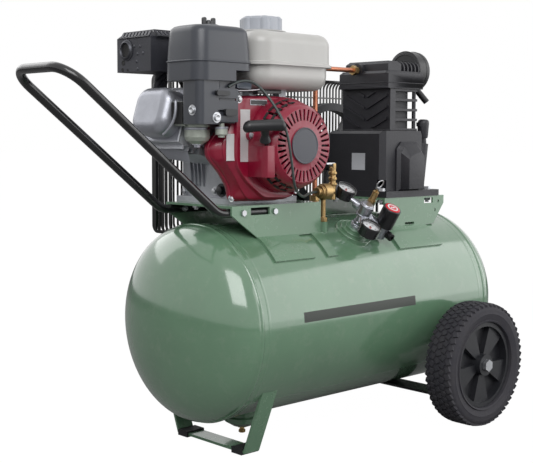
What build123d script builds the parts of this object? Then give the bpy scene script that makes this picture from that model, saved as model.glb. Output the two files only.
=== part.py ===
from build123d import *
import math
import os

# A portable two-wheel air compressor: a petrol engine drives a two-cylinder pump through a belt,
# and both stand on saddle platforms welded to a lying air tank.
#
# Millimetres. +X runs along the tank to the wheels, -Y is the side with the gauges, +Z is up.
# The model is laid out from the middle of the tank and moved at export, so that the origin lies
# on the ground under the middle of the whole object.

# ---------------------------------------------------------------- driving dimensions
SEAT_GAP = 0.2            # gap left under a piece that is seated on a curved face
RUN_GAP = 0.05            # radial gap of a running fit
MOVE_GAP = 0.3            # gap between two faces that move past each other
BOLT_GAP = 0.4            # radial gap round a bolt's shank
SMALL_SHANK = 3.0
BOLT_SHANK = 4.0

# tank
TANK_RADIUS = 178.0
TANK_WALL = 3.0
TANK_GROUND = 50.8        # height of the tank's underside
SHELL_LENGTH = 622.0
HEAD_DEPTH = 89.0

# sheet platforms
SHEET = 4.0
PLATFORM_RISE = 35.7      # top of the platforms above the tank
PLATFORM_HALF_WIDTH = 92.0
SADDLE_ANGLE = 49.5       # where the saddle flanges end, from the top of the tank
ENGINE_PLATE_X = (-306.0, -87.0)
ENGINE_SKIRT_FOOT_X = (-245.0, -87.0)
PUMP_PLATE_X = (94.0, 281.0)
PUMP_SKIRT_FOOT_X = (58.0, 248.0)

# front foot
FOOT_X = -261.0
FOOT_WIDTH = 35.0
FOOT_STRAP = 5.0
FOOT_HALF_SPAN = 95.0
FOOT_TOP_HALF_SPAN = 152.0
FOOT_CAP_WALL = 3.0
FOOT_CAP_LENGTH = 32.0

# wheels and their bracket
WHEEL_X = 199.0
WHEEL_RADIUS = 121.0
TYRE_WIDTH = 62.0
RIM_RADIUS = 83.0
RIM_WALL = 8.0
RIM_WIDTH = 46.0
HUB_RADIUS = 21.0
HUB_WIDTH = 56.0
DISC_THICKNESS = 10.0
SPOKE_COUNT = 5
SPOKE_HEIGHT = 12.0
TRACK_HALF = 238.0        # from the middle plane to the middle of a tyre
AXLE_RADIUS = 8.0
BRACKET_STRAP = 5.0
BRACKET_WIDTH = 50.0

# handle
HANDLE_TUBE_RADIUS = 8.0
HANDLE_TUBE_WALL = 1.8
HANDLE_REACH = 627.0      # middle of the grip bar, from the middle of the tank
HANDLE_RISE = 225.5       # middle of the grip bar above the platforms
HANDLE_KNEE_X = -326.0
HANDLE_FOOT_X = -196.0
HANDLE_CORNER = 42.0
HANDLE_BOLTS_X = (-280.0, -205.0)
NOTCH_X = (-262.0, -217.0)
NOTCH_DEPTH = 13.0

# engine, measured from its crankshaft
ENGINE_X = -185.0
SHAFT_HEIGHT = 104.5      # crankshaft above the platform
CASE_X = (-75.0, 62.0)
CASE_Y = (-50.0, 100.0)
CASE_TOP = 76.0
CASE_WALL = 12.0
FLANGE_THICKNESS = 10.0
FLANGE_X = (-90.0, 76.0)
CYLINDER_TILT = 17.0      # degrees above level
CYLINDER_Y = 30.0
BORE_RADIUS = 34.0
ENGINE_STROKE = 45.0
ENGINE_ROD = 84.0
BARREL_HALF = 44.0
DECK = 130.0              # top of the barrel, along the cylinder
HEAD_THICKNESS = 42.0
COVER_THICKNESS = 46.0
FIN_COUNT = 6
FIN_THICKNESS = 3.0
FIN_PITCH = 9.5
FIN_REACH = 10.0
CRANK_RADIUS = 12.5
WEB_RADIUS = 37.0
WEB_THICKNESS = 12.0
PIN_RADIUS = 13.0
PIN_LENGTH = 20.0
OUTPUT_RADIUS = 9.5
OUTPUT_END_Y = 150.0

# cooling and starting
FAN_RADIUS = 76.0
FAN_VANES = 16
SHROUD_FRONT_Y = -92.0
SHROUD_FLANK_Y = -62.0
SHROUD_WALL = 2.5
SHROUD_RADIUS = 88.0
STARTER_RADIUS = 84.0
STARTER_FACE_RADIUS = 68.5
STARTER_FRONT_Y = -145.0
STARTER_SLOTS = 36
BADGE_RADIUS = 32.5
REEL_RADIUS = 54.0
REEL_WIDTH = 16.0
GUIDE_X = (-90.0, -64.0)
ROPE_RADIUS = 2.5
GUIDE_FRONT_Y = -142.0
GRIP_LENGTH = 76.0
GRIP_RADIUS = 10.5
GRIP_LEAN = (-19.0, -18.0, 36.0)    # from the rope's hole to the middle of the grip
GRIP_TURN = 25.0                    # degrees the grip is turned outwards at its right end

# fuel, air and exhaust
FUEL_TANK_X = (-71.0, 123.0)
FUEL_TANK_Y = (-105.0, 92.0)
FUEL_TANK_Z = (99.0, 201.0)
FUEL_WALL = 3.0
FUEL_NECK_RADIUS = 33.0
FUEL_CAP_RADIUS = 40.0
FUEL_CAP_HEIGHT = 26.0
FUEL_CAP_AT = (16.0, -15.0)
CLEANER_X = (-203.0, -77.0)
CLEANER_Y = (-103.0, -3.0)
CLEANER_BASE_Z = 109.0
CLEANER_SEAM_Z = 141.0
CLEANER_TOP_Z = 196.0
ELBOW_X = (-198.0, -147.0)
ELBOW_Y = (-98.0, -48.0)
ELBOW_BOTTOM_Z = 36.0
VALVE_PLATE_X = -112.5
WING_NUT_HALF = 14.0
NUT_SEAT = 6.0            # raised pad under the wing nut
BOWL_RADIUS = 22.0
MUFFLER_X = (-197.0, -105.0)
MUFFLER_Y = (35.0, 135.0)
MUFFLER_Z = (129.0, 198.0)

# pump, measured from its crankshaft
PUMP_X = 165.0
PUMP_SHAFT_HEIGHT = 72.5
PUMP_FLANGE_X = (-69.0, 97.0)
PUMP_FLANGE_Y = (-94.0, 65.0)
PUMP_FLANGE_THICKNESS = 12.5
PUMP_CASE_X = (-65.0, 66.0)
PUMP_CASE_Y = (-80.0, 65.0)
PUMP_CASE_TOP = 60.0
PUMP_WALL = 10.0
PUMP_BLOCK_HALF = 42.0
PUMP_BLOCK_Y = (-78.0, 50.0)
PUMP_DECK = 144.0
PUMP_BORES_Y = (-38.0, 16.0)
PUMP_BORE_RADIUS = 22.0
PUMP_STROKE = 38.0
PUMP_ROD = 111.0
PUMP_FINS = 3
CHEVRON_PITCH = 23.0
CHEVRON_FALL = 26.0
CHEVRON_RIBS = 4
VALVE_PLATE = 6.0
PUMP_HEAD_X = (-53.0, 55.0)
PUMP_HEAD_Y = (-82.0, 50.0)
PUMP_HEAD_HEIGHT = 29.0
PUMP_CHEST_HEIGHT = 20.0
PUMP_CHEST_MARGIN = 9.0
HEAD_FIN_PITCH = 11.5
HEAD_FIN_THICKNESS = 3.5
PUMP_CRANK_RADIUS = 12.0
PUMP_WEB_RADIUS = 34.0
PUMP_PIN_RADIUS = 10.0
PUMP_PISTON_HEIGHT = 30.0
FILTER_RADIUS = 41.0
FILTER_WIDTH = 36.0
FILTER_Y = -28.0
FILTER_RISE = 4.0         # middle of the filter above the head's rim
BREATHER_RADIUS = 8.5

# belt drive
BELT_Y = 130.0
BELT_WIDTH = 11.0
BELT_THICKNESS = 8.0
PUMP_SHEAVE_RADIUS = 118.0
ENGINE_SHEAVE_RADIUS = 31.0
SHEAVE_WIDTH = 24.0
SHEAVE_RIM = 16.0
SHEAVE_SPOKES = 5
GUARD_X = (-282.0, 305.0)
GUARD_Y = (108.0, 167.0)
GUARD_RISE = (-63.5, 238.5)    # foot and top of the guard from the platforms' top
GUARD_WIRE = 3.0
GUARD_PITCH = 9.8

# pipework and controls
TUBE_RADIUS = 4.75
TUBE_X = -8.0
TUBE_Y = 2.0
TUBE_BEND = 24.0
TUBE_RISE = 2.0           # middle of the tube above the rim of the pump's head
CHECK_VALVE_RADIUS = 12.0
CHECK_VALVE_HEIGHT = 34.0
PILOT_X = -68.0
PILOT_Y = -80.0
PILOT_BOSS = 16.0
PILOT_STEM = 56.2         # middle of the valve above its boss
PILOT_REACH = 18.0        # from the stem to the cable's end
PILOT_COLUMN = 25.0       # from the stem to the upright part
PILOT_RADIUS = 15.0
CABLE_RADIUS = 2.4
CABLE_ROUTE = [(-319.0, -98.0, 646.0), (-298.0, -99.0, 658.0), (-262.0, -104.0, 656.0),
               (-243.0, -128.0, 620.0),
               (-238.0, -156.0, 578.0), (-226.0, -157.0, 518.0), (-216.0, -153.0, 474.0), (-165.0, -122.0,
                                                                                           453.0)]
BOSS_X = -1.0
BOSS_ANGLE = 32.5         # from the top of the tank, towards the front
BOSS_RADII = (36.0, 29.0, 21.0)
BOSS_STEP = 5.0
MANIFOLD_HEIGHT = 55.0    # middle of the manifold above the tank, along the boss
GAUGE_RADIUS = 20.5
GAUGE_DEPTH = 21.0
TANK_GAUGE_AT = (-12.0, 52.0, 50.0)
LINE_GAUGE_AT = (-13.5, -38.0, 27.0)
REGULATOR_AT = (47.0, -22.0)
REGULATOR_RADIUS = 14.0
KNOB_RADIUS = 17.8
KNOB_HEIGHT = 40.0
REGULATOR_HEIGHT = (7.0, 32.0)
SAFETY_AT = (20.0, 10.0)
SAFETY_RADIUS = 6.5
SAFETY_LENGTH = 34.0
OUTLET_LENGTH = 13.0
OUTLET_LEVEL = 20.0
DRAIN_X = -200.0
DRAIN_RADIUS = 33.0
DRAIN_NECK = 8.0
DRAIN_KNOB_RADIUS = 6.5

# ---------------------------------------------------------------- places worked out from them
TANK_AXIS_Z = TANK_GROUND + TANK_RADIUS
PLATE_TOP = TANK_AXIS_Z + TANK_RADIUS + PLATFORM_RISE
HANDLE_HEIGHT = PLATE_TOP + HANDLE_RISE
GUARD_Z = (PLATE_TOP + GUARD_RISE[0], PLATE_TOP + GUARD_RISE[1])
PILOT_BOSS_TOP = TANK_AXIS_Z + math.sqrt(TANK_RADIUS ** 2 - PILOT_Y ** 2) + PILOT_BOSS
PILOT_AT = (PILOT_X, PILOT_Y, PILOT_BOSS_TOP + PILOT_STEM)
SHELL_END = SHELL_LENGTH / 2
ENGINE_Z = PLATE_TOP + SHAFT_HEIGHT
PUMP_Z = PLATE_TOP + PUMP_SHAFT_HEIGHT
LOW_X = -(HANDLE_REACH + HANDLE_TUBE_RADIUS)
HIGH_X = SHELL_END + HEAD_DEPTH
ORIGIN_X = (LOW_X + HIGH_X) / 2
TILT = math.radians(CYLINDER_TILT)
ALONG = (-math.cos(TILT), math.sin(TILT))      # from the crankshaft to the cylinder head, in X and Z
ACROSS = (math.sin(TILT), math.cos(TILT))      # square to that, upwards
CENTRED_LOW = (Align.CENTER, Align.CENTER, Align.MIN)

os.makedirs("parts", exist_ok=True)


# ---------------------------------------------------------------- helpers
def save(node, *solids):
    """Write the solids of one node, moved to the object's own origin."""
    moved = [Pos(-ORIGIN_X, 0, 0) * solid for shape in solids for solid in shape.solids()]
    export_step(moved[0] if len(moved) == 1 else Compound(children=moved), f"parts/{node}.step")


def block(x, y, z):
    """A box between the low and high values of each axis."""
    centre = [(low + high) / 2 for low, high in (x, y, z)]
    return Pos(*centre) * Box(x[1] - x[0], y[1] - y[0], z[1] - z[0])


def rod(radius, start, end, tip_radius=None):
    """A round bar, or a taper, from one point to another."""
    start, end = Vector(*start), Vector(*end)
    length = (end - start).length
    plane = Plane(origin=start, z_dir=end - start)
    if tip_radius is None:
        return plane * Cylinder(radius, length, align=CENTRED_LOW)
    return plane * Cone(radius, tip_radius, length, align=CENTRED_LOW)


def hex_bar(across, start, end):
    """A hexagonal bar from one point to another, given across its flats."""
    start, end = Vector(*start), Vector(*end)
    plane = Plane(origin=start, z_dir=end - start)
    return extrude(plane * RegularPolygon(across / 2, 6, major_radius=False), (end - start).length)


def slab(outline, y_low, y_high):
    """Extrude an outline drawn in X and Z across a range of Y."""
    return Pos(0, y_low, 0) * extrude(Plane.XZ * outline, -(y_high - y_low))


def polygon(*points):
    return make_face(Polyline(*points, close=True))


def turned_y(x, z, *points):
    """Turn a profile of (radius, y) points about an axis along Y through x, z."""
    return Pos(x, 0, z) * revolve(polygon(*points), Axis.Y)


def turned_z(x, y, *points):
    """Turn a profile of (radius, z) points about an upright axis through x, y."""
    return Pos(x, y, 0) * revolve(Plane.XZ * polygon(*points), Axis.Z)


def ribbon(points, thickness):
    """An outline of a bent strap: the points run along one face, the strap lies to their left."""
    inner = []
    for index, point in enumerate(points):
        sides = []
        if index > 0:
            sides.append((points[index - 1], point))
        if index < len(points) - 1:
            sides.append((point, points[index + 1]))
        normals = []
        for (x0, y0), (x1, y1) in sides:
            length = math.hypot(x1 - x0, y1 - y0)
            normals.append((-(y1 - y0) / length, (x1 - x0) / length))
        nx = sum(normal[0] for normal in normals) / len(normals)
        ny = sum(normal[1] for normal in normals) / len(normals)
        scale = thickness / (nx * nx + ny * ny)
        inner.append((point[0] + nx * scale, point[1] + ny * scale))
    return polygon(*points, *reversed(inner))


def tank_z(y, radius=TANK_RADIUS):
    """Height of a cylinder about the tank's axis at a distance y from the middle."""
    return TANK_AXIS_Z + math.sqrt(radius * radius - y * y)


def around_tank(radius, x_low, x_high):
    """A round bar on the tank's axis, used to seat pieces on the tank."""
    return rod(radius, (x_low, 0, TANK_AXIS_Z), (x_high, 0, TANK_AXIS_Z))


def along_cylinder(distance, offset=0.0):
    """X and Z of a point along the engine's cylinder, offset square to it."""
    return (ENGINE_X + distance * ALONG[0] + offset * ACROSS[0],
            ENGINE_Z + distance * ALONG[1] + offset * ACROSS[1])


def tilted_block(along, across, y):
    """A box lying along the engine's cylinder."""
    corners = [along_cylinder(along[a], across[b]) for a, b in ((0, 0), (0, 1), (1, 1), (1, 0))]
    return slab(polygon(*corners), *y)


def shifted(pair, offset):
    return (pair[0] + offset, pair[1] + offset)


def hull_of_circles(near, near_radius, far, far_radius):
    """The outline of a belt round two circles, drawn in X and Z."""
    dx, dz = far[0] - near[0], far[1] - near[1]
    line = math.atan2(dz, dx)
    lean = math.asin((far_radius - near_radius) / math.hypot(dx, dz))

    def point(centre, radius, angle):
        return (centre[0] + radius * math.cos(angle), centre[1] + radius * math.sin(angle))

    top, bottom = line + math.pi / 2 + lean, line - math.pi / 2 - lean
    near_top, near_bottom = point(near, near_radius, top), point(near, near_radius, bottom)
    far_top, far_bottom = point(far, far_radius, top), point(far, far_radius, bottom)
    edges = [Line(near_top, far_top),
             ThreePointArc(far_top, point(far, far_radius, line), far_bottom),
             Line(far_bottom, near_bottom),
             ThreePointArc(near_bottom, point(near, near_radius, line + math.pi), near_top)]
    return make_face(Wire(edges))


# ---------------------------------------------------------------- tank
def build_tank():
    outer = around_tank(TANK_RADIUS, -SHELL_END, SHELL_END)
    shell = outer - around_tank(TANK_RADIUS - TANK_WALL, -SHELL_END, SHELL_END)
    drain_hole = rod(TANK_WALL * 2, (DRAIN_X, 0, 0), (DRAIN_X, 0, TANK_AXIS_Z))
    save("tank_shell", shell - drain_hole)

    inner_depth, inner_radius = HEAD_DEPTH - TANK_WALL, TANK_RADIUS - TANK_WALL
    outside = EllipticalCenterArc((0, 0), HEAD_DEPTH, TANK_RADIUS, 0, arc_size=90)
    inside = EllipticalCenterArc((0, 0), inner_depth, inner_radius, 0, arc_size=90)
    closing = [Line(outside @ 0, inside @ 0), Line(outside @ 1, inside @ 1)]
    section = make_face(Wire([outside, inside, *closing]))
    head = revolve(section, Axis.X)
    save("tank_heads", Pos(SHELL_END, 0, TANK_AXIS_Z) * head,
         Pos(-SHELL_END, 0, TANK_AXIS_Z) * Rot(0, 0, 180) * head)


def boss_plane():
    """The plane of the regulator's boss: local z leaves the tank, local x is X."""
    angle = math.radians(BOSS_ANGLE)
    normal = (0, -math.sin(angle), math.cos(angle))
    origin = (BOSS_X, TANK_RADIUS * normal[1], TANK_AXIS_Z + TANK_RADIUS * normal[2])
    return Plane(origin=origin, x_dir=(1, 0, 0), z_dir=normal)


def build_bosses():
    clear_of_tank = around_tank(TANK_RADIUS + SEAT_GAP, -SHELL_END, SHELL_END)
    plane = boss_plane()
    sunk = TANK_WALL * 2
    steps = None
    for index, radius in enumerate(BOSS_RADII):
        step = Pos(0, 0, -sunk) * Cylinder(radius, sunk + BOSS_STEP * (index + 1), align=CENTRED_LOW)
        steps = step if steps is None else steps + step
    regulator_boss = plane * steps - clear_of_tank

    tube_boss = rod(CHECK_VALVE_RADIUS + 4, (TUBE_X, TUBE_Y, TANK_AXIS_Z),
                    (TUBE_X, TUBE_Y, tube_boss_top()))
    pilot_x, pilot_y, pilot_z = PILOT_AT
    pilot_boss = rod(PILOT_RADIUS - 6, (pilot_x, pilot_y, TANK_AXIS_Z),
                     (pilot_x, pilot_y, PILOT_BOSS_TOP))
    tube_boss = tube_boss - clear_of_tank
    pilot_boss = pilot_boss - clear_of_tank

    drain = turned_z(DRAIN_X, 0, (6, drain_boss_low()), (DRAIN_RADIUS * 0.55, drain_boss_low()),
                     (DRAIN_RADIUS, drain_boss_low() + 9), (DRAIN_RADIUS, drain_boss_low() + 17),
                     (DRAIN_RADIUS * 0.8, drain_boss_low() + 19), (DRAIN_RADIUS * 0.8, TANK_GROUND + 8),
                     (6, TANK_GROUND + 8))
    save("tank_bosses", regulator_boss, tube_boss, pilot_boss, drain - clear_of_tank)


def tube_boss_top():
    return tank_z(TUBE_Y) + 7.0


def drain_boss_low():
    return TANK_GROUND - 28.0


# ---------------------------------------------------------------- frame
def saddle_flanges(x_low, x_high):
    """Sheet that follows the tank from the skirts down to the saddle angle, on both sides."""
    inner, outer = TANK_RADIUS + SEAT_GAP, TANK_RADIUS + SEAT_GAP + SHEET
    start = math.asin((PLATFORM_HALF_WIDTH - SHEET) / outer)
    end = math.radians(SADDLE_ANGLE)

    def at(radius, angle):
        return (-radius * math.sin(angle), TANK_AXIS_Z + radius * math.cos(angle))

    middle = (start + end) / 2
    edges = [ThreePointArc(at(inner, start), at(inner, middle), at(inner, end)),
             Line(at(inner, end), at(outer, end)),
             ThreePointArc(at(outer, end), at(outer, middle), at(outer, start)),
             Line(at(outer, start), at(inner, start))]
    front = Pos(x_low, 0, 0) * extrude(Plane.YZ * make_face(Wire(edges)), x_high - x_low)
    return front, mirror(front, Plane.XZ)


def skirt_foot_z():
    return tank_z(PLATFORM_HALF_WIDTH - SHEET, TANK_RADIUS + SEAT_GAP) + SHEET * 0.15


def platform(plate_x, skirt_outline, saddles):
    """A top plate on two upright skirts, with saddle flanges on the tank."""
    half = PLATFORM_HALF_WIDTH
    body = block(plate_x, (-half, half), (PLATE_TOP - SHEET, PLATE_TOP))
    face = polygon(*skirt_outline)
    body += slab(face, -half, -half + SHEET)
    body += slab(face, half - SHEET, half)
    for x_low, x_high in saddles:
        for flange in saddle_flanges(x_low, x_high):
            body += flange
    return body


def engine_bolt_places():
    inset = 12.0
    for x in (FLANGE_X[0] + inset, FLANGE_X[1] - inset):
        for y in (CASE_Y[0] + inset, CASE_Y[1] - inset * 3.5):
            yield (ENGINE_X + x, y)


def pump_bolt_places():
    inset = 11.0
    for x in (PUMP_FLANGE_X[0] + inset, PUMP_FLANGE_X[1] - inset):
        for y in (PUMP_FLANGE_Y[0] + inset * 2, PUMP_FLANGE_Y[1] - inset):
            yield (PUMP_X + x, y)


def handle_bolt_z():
    return PLATE_TOP - SHEET - HANDLE_TUBE_RADIUS - SEAT_GAP * 2


def build_platforms():
    top, foot = PLATE_TOP, skirt_foot_z()
    low, high = ENGINE_PLATE_X
    outline = [(low, top), (high, top), (high, foot), (ENGINE_SKIRT_FOOT_X[0], foot),
               (low, top - SHEET * 4)]
    foot_low, foot_high = ENGINE_SKIRT_FOOT_X
    split = foot_low + (foot_high - foot_low) * 0.62
    engine = platform(ENGINE_PLATE_X, outline, [(foot_low, split), (split + 34, foot_high)])
    half = PLATFORM_HALF_WIDTH
    notch_z = (top - NOTCH_DEPTH - SHEET, top - SHEET)
    engine -= block(NOTCH_X, (-half - 1, -half + SHEET + 1), notch_z)
    engine -= block(NOTCH_X, (half - SHEET - 1, half + 1), notch_z)
    for x, y in engine_bolt_places():
        engine -= rod(BOLT_SHANK + BOLT_GAP, (x, y, top - SHEET * 2), (x, y, top + SHEET))
    for x in HANDLE_BOLTS_X:
        engine -= rod(SMALL_SHANK + BOLT_GAP, (x, -half - 1, handle_bolt_z()),
                      (x, half + 1, handle_bolt_z()))
    save("engine_platform", engine)

    low, high = PUMP_PLATE_X
    foot_low, foot_high = PUMP_SKIRT_FOOT_X
    outline = [(low, top), (high, top), (high, top - SHEET * 4), (foot_high, foot),
               (foot_low + 36, foot), (low, foot + 20)]
    pump = platform(PUMP_PLATE_X, outline, [(foot_low + 30, foot_high - 28)])
    for side in (-1, 1):
        skirt_y = sorted((side * (half + 1), side * (half - SHEET - 1)))
        pump -= block((foot_high - 31, foot_high - 3), skirt_y, (top - 15, top - SHEET))
        pump -= block((foot_high - 91, foot_high - 62), skirt_y, (foot + 2, foot + 7))
        for hole_x, drop in ((foot_high + 15, 12), (foot_high + 5, 30)):
            pump -= rod(3, (hole_x, skirt_y[0], top - drop), (hole_x, skirt_y[1], top - drop))
    for x, y in pump_bolt_places():
        pump -= rod(BOLT_SHANK + BOLT_GAP, (x, y, top - SHEET * 2), (x, y, top + SHEET))
    save("pump_platform", pump)


def bolt_down(x, y, seat_z, grip, shank=BOLT_SHANK):
    """A hexagon bolt with its nut: the head on seat_z, the nut a grip length below."""
    head, nut = shank * 1.4, shank * 1.6
    across = shank * 3.2
    bolt = hex_bar(across, (x, y, seat_z), (x, y, seat_z + head))
    bolt += rod(shank, (x, y, seat_z - grip - nut - shank), (x, y, seat_z))
    bolt += hex_bar(across, (x, y, seat_z - grip - nut), (x, y, seat_z - grip))
    return bolt


def build_bolts():
    bolts = [axle_bolt(-1), axle_bolt(1)]
    for x, y in engine_bolt_places():
        bolts.append(bolt_down(x, y, PLATE_TOP + FLANGE_THICKNESS, FLANGE_THICKNESS + SHEET))
    for x, y in pump_bolt_places():
        bolts.append(bolt_down(x, y, PLATE_TOP + PUMP_FLANGE_THICKNESS, PUMP_FLANGE_THICKNESS + SHEET))
    half, z, shank = PLATFORM_HALF_WIDTH, handle_bolt_z(), SMALL_SHANK
    inner = half - SHEET - HANDLE_TUBE_RADIUS * 2 - SEAT_GAP * 2
    across = shank * 3.2
    for side in (-1, 1):
        for x in HANDLE_BOLTS_X:
            bolt = hex_bar(across, (x, side * half, z), (x, side * (half + shank * 1.3), z))
            bolt += rod(shank, (x, side * half, z), (x, side * (inner - shank * 3), z))
            bolt += hex_bar(across, (x, side * inner, z), (x, side * (inner - shank * 1.6), z))
            bolts.append(bolt)
    save("frame_bolts", *bolts)


def build_foot():
    top = TANK_AXIS_Z - math.sqrt(TANK_RADIUS ** 2 - FOOT_TOP_HALF_SPAN ** 2) + FOOT_STRAP * 2
    half = FOOT_HALF_SPAN
    base = FOOT_CAP_WALL
    face = ribbon([(-FOOT_TOP_HALF_SPAN, top), (-half, base), (half, base), (FOOT_TOP_HALF_SPAN, top)],
                  FOOT_STRAP)
    x_low = FOOT_X - FOOT_WIDTH / 2
    strap = Pos(x_low, 0, 0) * extrude(Plane.YZ * face, FOOT_WIDTH)
    strap -= around_tank(TANK_RADIUS + SEAT_GAP, -SHELL_END, SHELL_END)
    save("front_foot", strap)

    wall, gap = FOOT_CAP_WALL, SEAT_GAP
    caps = []
    for side in (-1, 1):
        y_range = sorted((side * (half - FOOT_CAP_LENGTH), side * (half - FOOT_STRAP)))
        cap = block((x_low - wall - gap, x_low + FOOT_WIDTH + wall + gap), y_range,
                    (0, base + FOOT_STRAP + wall + gap))
        slot = block((x_low - gap, x_low + FOOT_WIDTH + gap), (y_range[0] - 1, y_range[1] + 1),
                     (base, base + FOOT_STRAP + gap))
        caps.append(cap - slot)
    save("foot_caps", *caps)


def build_axle_bracket():
    rise = WHEEL_RADIUS + BRACKET_WIDTH * 0.45
    outer = bracket_half_span()
    low = TANK_GROUND - SEAT_GAP - BRACKET_STRAP
    face = ribbon([(-outer, rise), (-outer, low), (outer, low), (outer, rise)], BRACKET_STRAP)
    bracket = Pos(WHEEL_X - BRACKET_WIDTH / 2, 0, 0) * extrude(Plane.YZ * face, BRACKET_WIDTH)
    bracket -= rod(AXLE_RADIUS * 0.75 + BOLT_GAP, (WHEEL_X, -outer - 1, WHEEL_RADIUS),
                   (WHEEL_X, outer + 1, WHEEL_RADIUS))
    save("axle_bracket", bracket)


def bracket_half_span():
    return TRACK_HALF - HUB_WIDTH / 2 - MOVE_GAP * 2


def build_wheel(side, name):
    centre_y = side * TRACK_HALF
    half_tyre, half_rim, half_hub = TYRE_WIDTH / 2, RIM_WIDTH / 2, HUB_WIDTH / 2
    bead = RIM_RADIUS + SEAT_GAP
    shoulder = 13.0
    tyre = turned_y(WHEEL_X, WHEEL_RADIUS, (bead, -half_rim), (bead + 6, -half_tyre),
                    (WHEEL_RADIUS - shoulder, -half_tyre), (WHEEL_RADIUS - 3,
                                                            -half_tyre + shoulder * 0.7),
                    (WHEEL_RADIUS, -half_tyre + shoulder * 1.4), (WHEEL_RADIUS,
                                                                  half_tyre - shoulder * 1.4),
                    (WHEEL_RADIUS - 3, half_tyre - shoulder * 0.7), (WHEEL_RADIUS - shoulder, half_tyre),
                    (bead + 6, half_tyre), (bead, half_rim))
    save(f"{name}_tyre", Pos(0, centre_y, 0) * tyre)

    def ring(outer, inner, low, high):
        return turned_y(WHEEL_X, WHEEL_RADIUS, (inner, low), (outer, low), (outer, high), (inner, high))

    bore = AXLE_RADIUS + RUN_GAP
    rim = ring(RIM_RADIUS, RIM_RADIUS - RIM_WALL, -half_rim, half_rim)
    rim += ring(HUB_RADIUS, bore, -half_hub, half_hub)
    rim += ring(RIM_RADIUS - RIM_WALL / 2, HUB_RADIUS - 1, -DISC_THICKNESS / 2, DISC_THICKNESS / 2)
    spoke_faces = polygon((8, -4), (RIM_RADIUS - RIM_WALL + 1, -24), (RIM_RADIUS - RIM_WALL + 1, 24),
                          (8, 4))
    for index in range(SPOKE_COUNT):
        angle = 360 / SPOKE_COUNT * index + 90
        reach = DISC_THICKNESS / 2 + SPOKE_HEIGHT
        spoke = slab(spoke_faces, -reach, reach)
        spoke = Pos(WHEEL_X, 0, WHEEL_RADIUS) * Rot(0, angle, 0) * spoke
        rim += spoke - rod(bore, (WHEEL_X, -HUB_WIDTH, WHEEL_RADIUS), (WHEEL_X, HUB_WIDTH, WHEEL_RADIUS))
    save(f"{name}_rim", Pos(0, centre_y, 0) * rim)


def axle_bolt(side):
    """The shouldered bolt a wheel turns on, with the nut inside the bracket."""
    outer, seat = TRACK_HALF + HUB_WIDTH / 2, bracket_half_span()
    thread = AXLE_RADIUS * 0.75
    bolt = rod(AXLE_RADIUS, (WHEEL_X, side * (seat + SEAT_GAP), WHEEL_RADIUS),
               (WHEEL_X, side * (outer + MOVE_GAP), WHEEL_RADIUS))
    bolt += hex_bar(AXLE_RADIUS * 2.6, (WHEEL_X, side * (outer + MOVE_GAP), WHEEL_RADIUS),
                    (WHEEL_X, side * (outer + MOVE_GAP + 7), WHEEL_RADIUS))
    bolt += rod(thread, (WHEEL_X, side * (seat - BRACKET_STRAP - 10), WHEEL_RADIUS),
                (WHEEL_X, side * (seat + 1), WHEEL_RADIUS))
    bolt += hex_bar(AXLE_RADIUS * 2.6, (WHEEL_X, side * (seat - BRACKET_STRAP - 8), WHEEL_RADIUS),
                    (WHEEL_X, side * (seat - BRACKET_STRAP), WHEEL_RADIUS))
    return bolt


def build_handle():
    y = PLATFORM_HALF_WIDTH - SHEET - HANDLE_TUBE_RADIUS - SEAT_GAP
    z = handle_bolt_z()
    route = [(HANDLE_FOOT_X, -y, z), (HANDLE_KNEE_X, -y, z), (-HANDLE_REACH, -y, HANDLE_HEIGHT),
             (-HANDLE_REACH, y, HANDLE_HEIGHT), (HANDLE_KNEE_X, y, z), (HANDLE_FOOT_X, y, z)]
    path = FilletPolyline(*route, radius=HANDLE_CORNER)
    start = Plane(origin=path @ 0, z_dir=path % 0)
    tube = sweep(start * Circle(HANDLE_TUBE_RADIUS), path)
    tube -= sweep(start * Circle(HANDLE_TUBE_RADIUS - HANDLE_TUBE_WALL), path)
    for x in HANDLE_BOLTS_X:
        for side in (-1, 1):
            tube -= rod(SMALL_SHANK + BOLT_GAP, (x, side * (y - HANDLE_TUBE_RADIUS * 1.5), z),
                        (x, side * (y + HANDLE_TUBE_RADIUS * 1.5), z))
    save("handle", tube)


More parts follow.
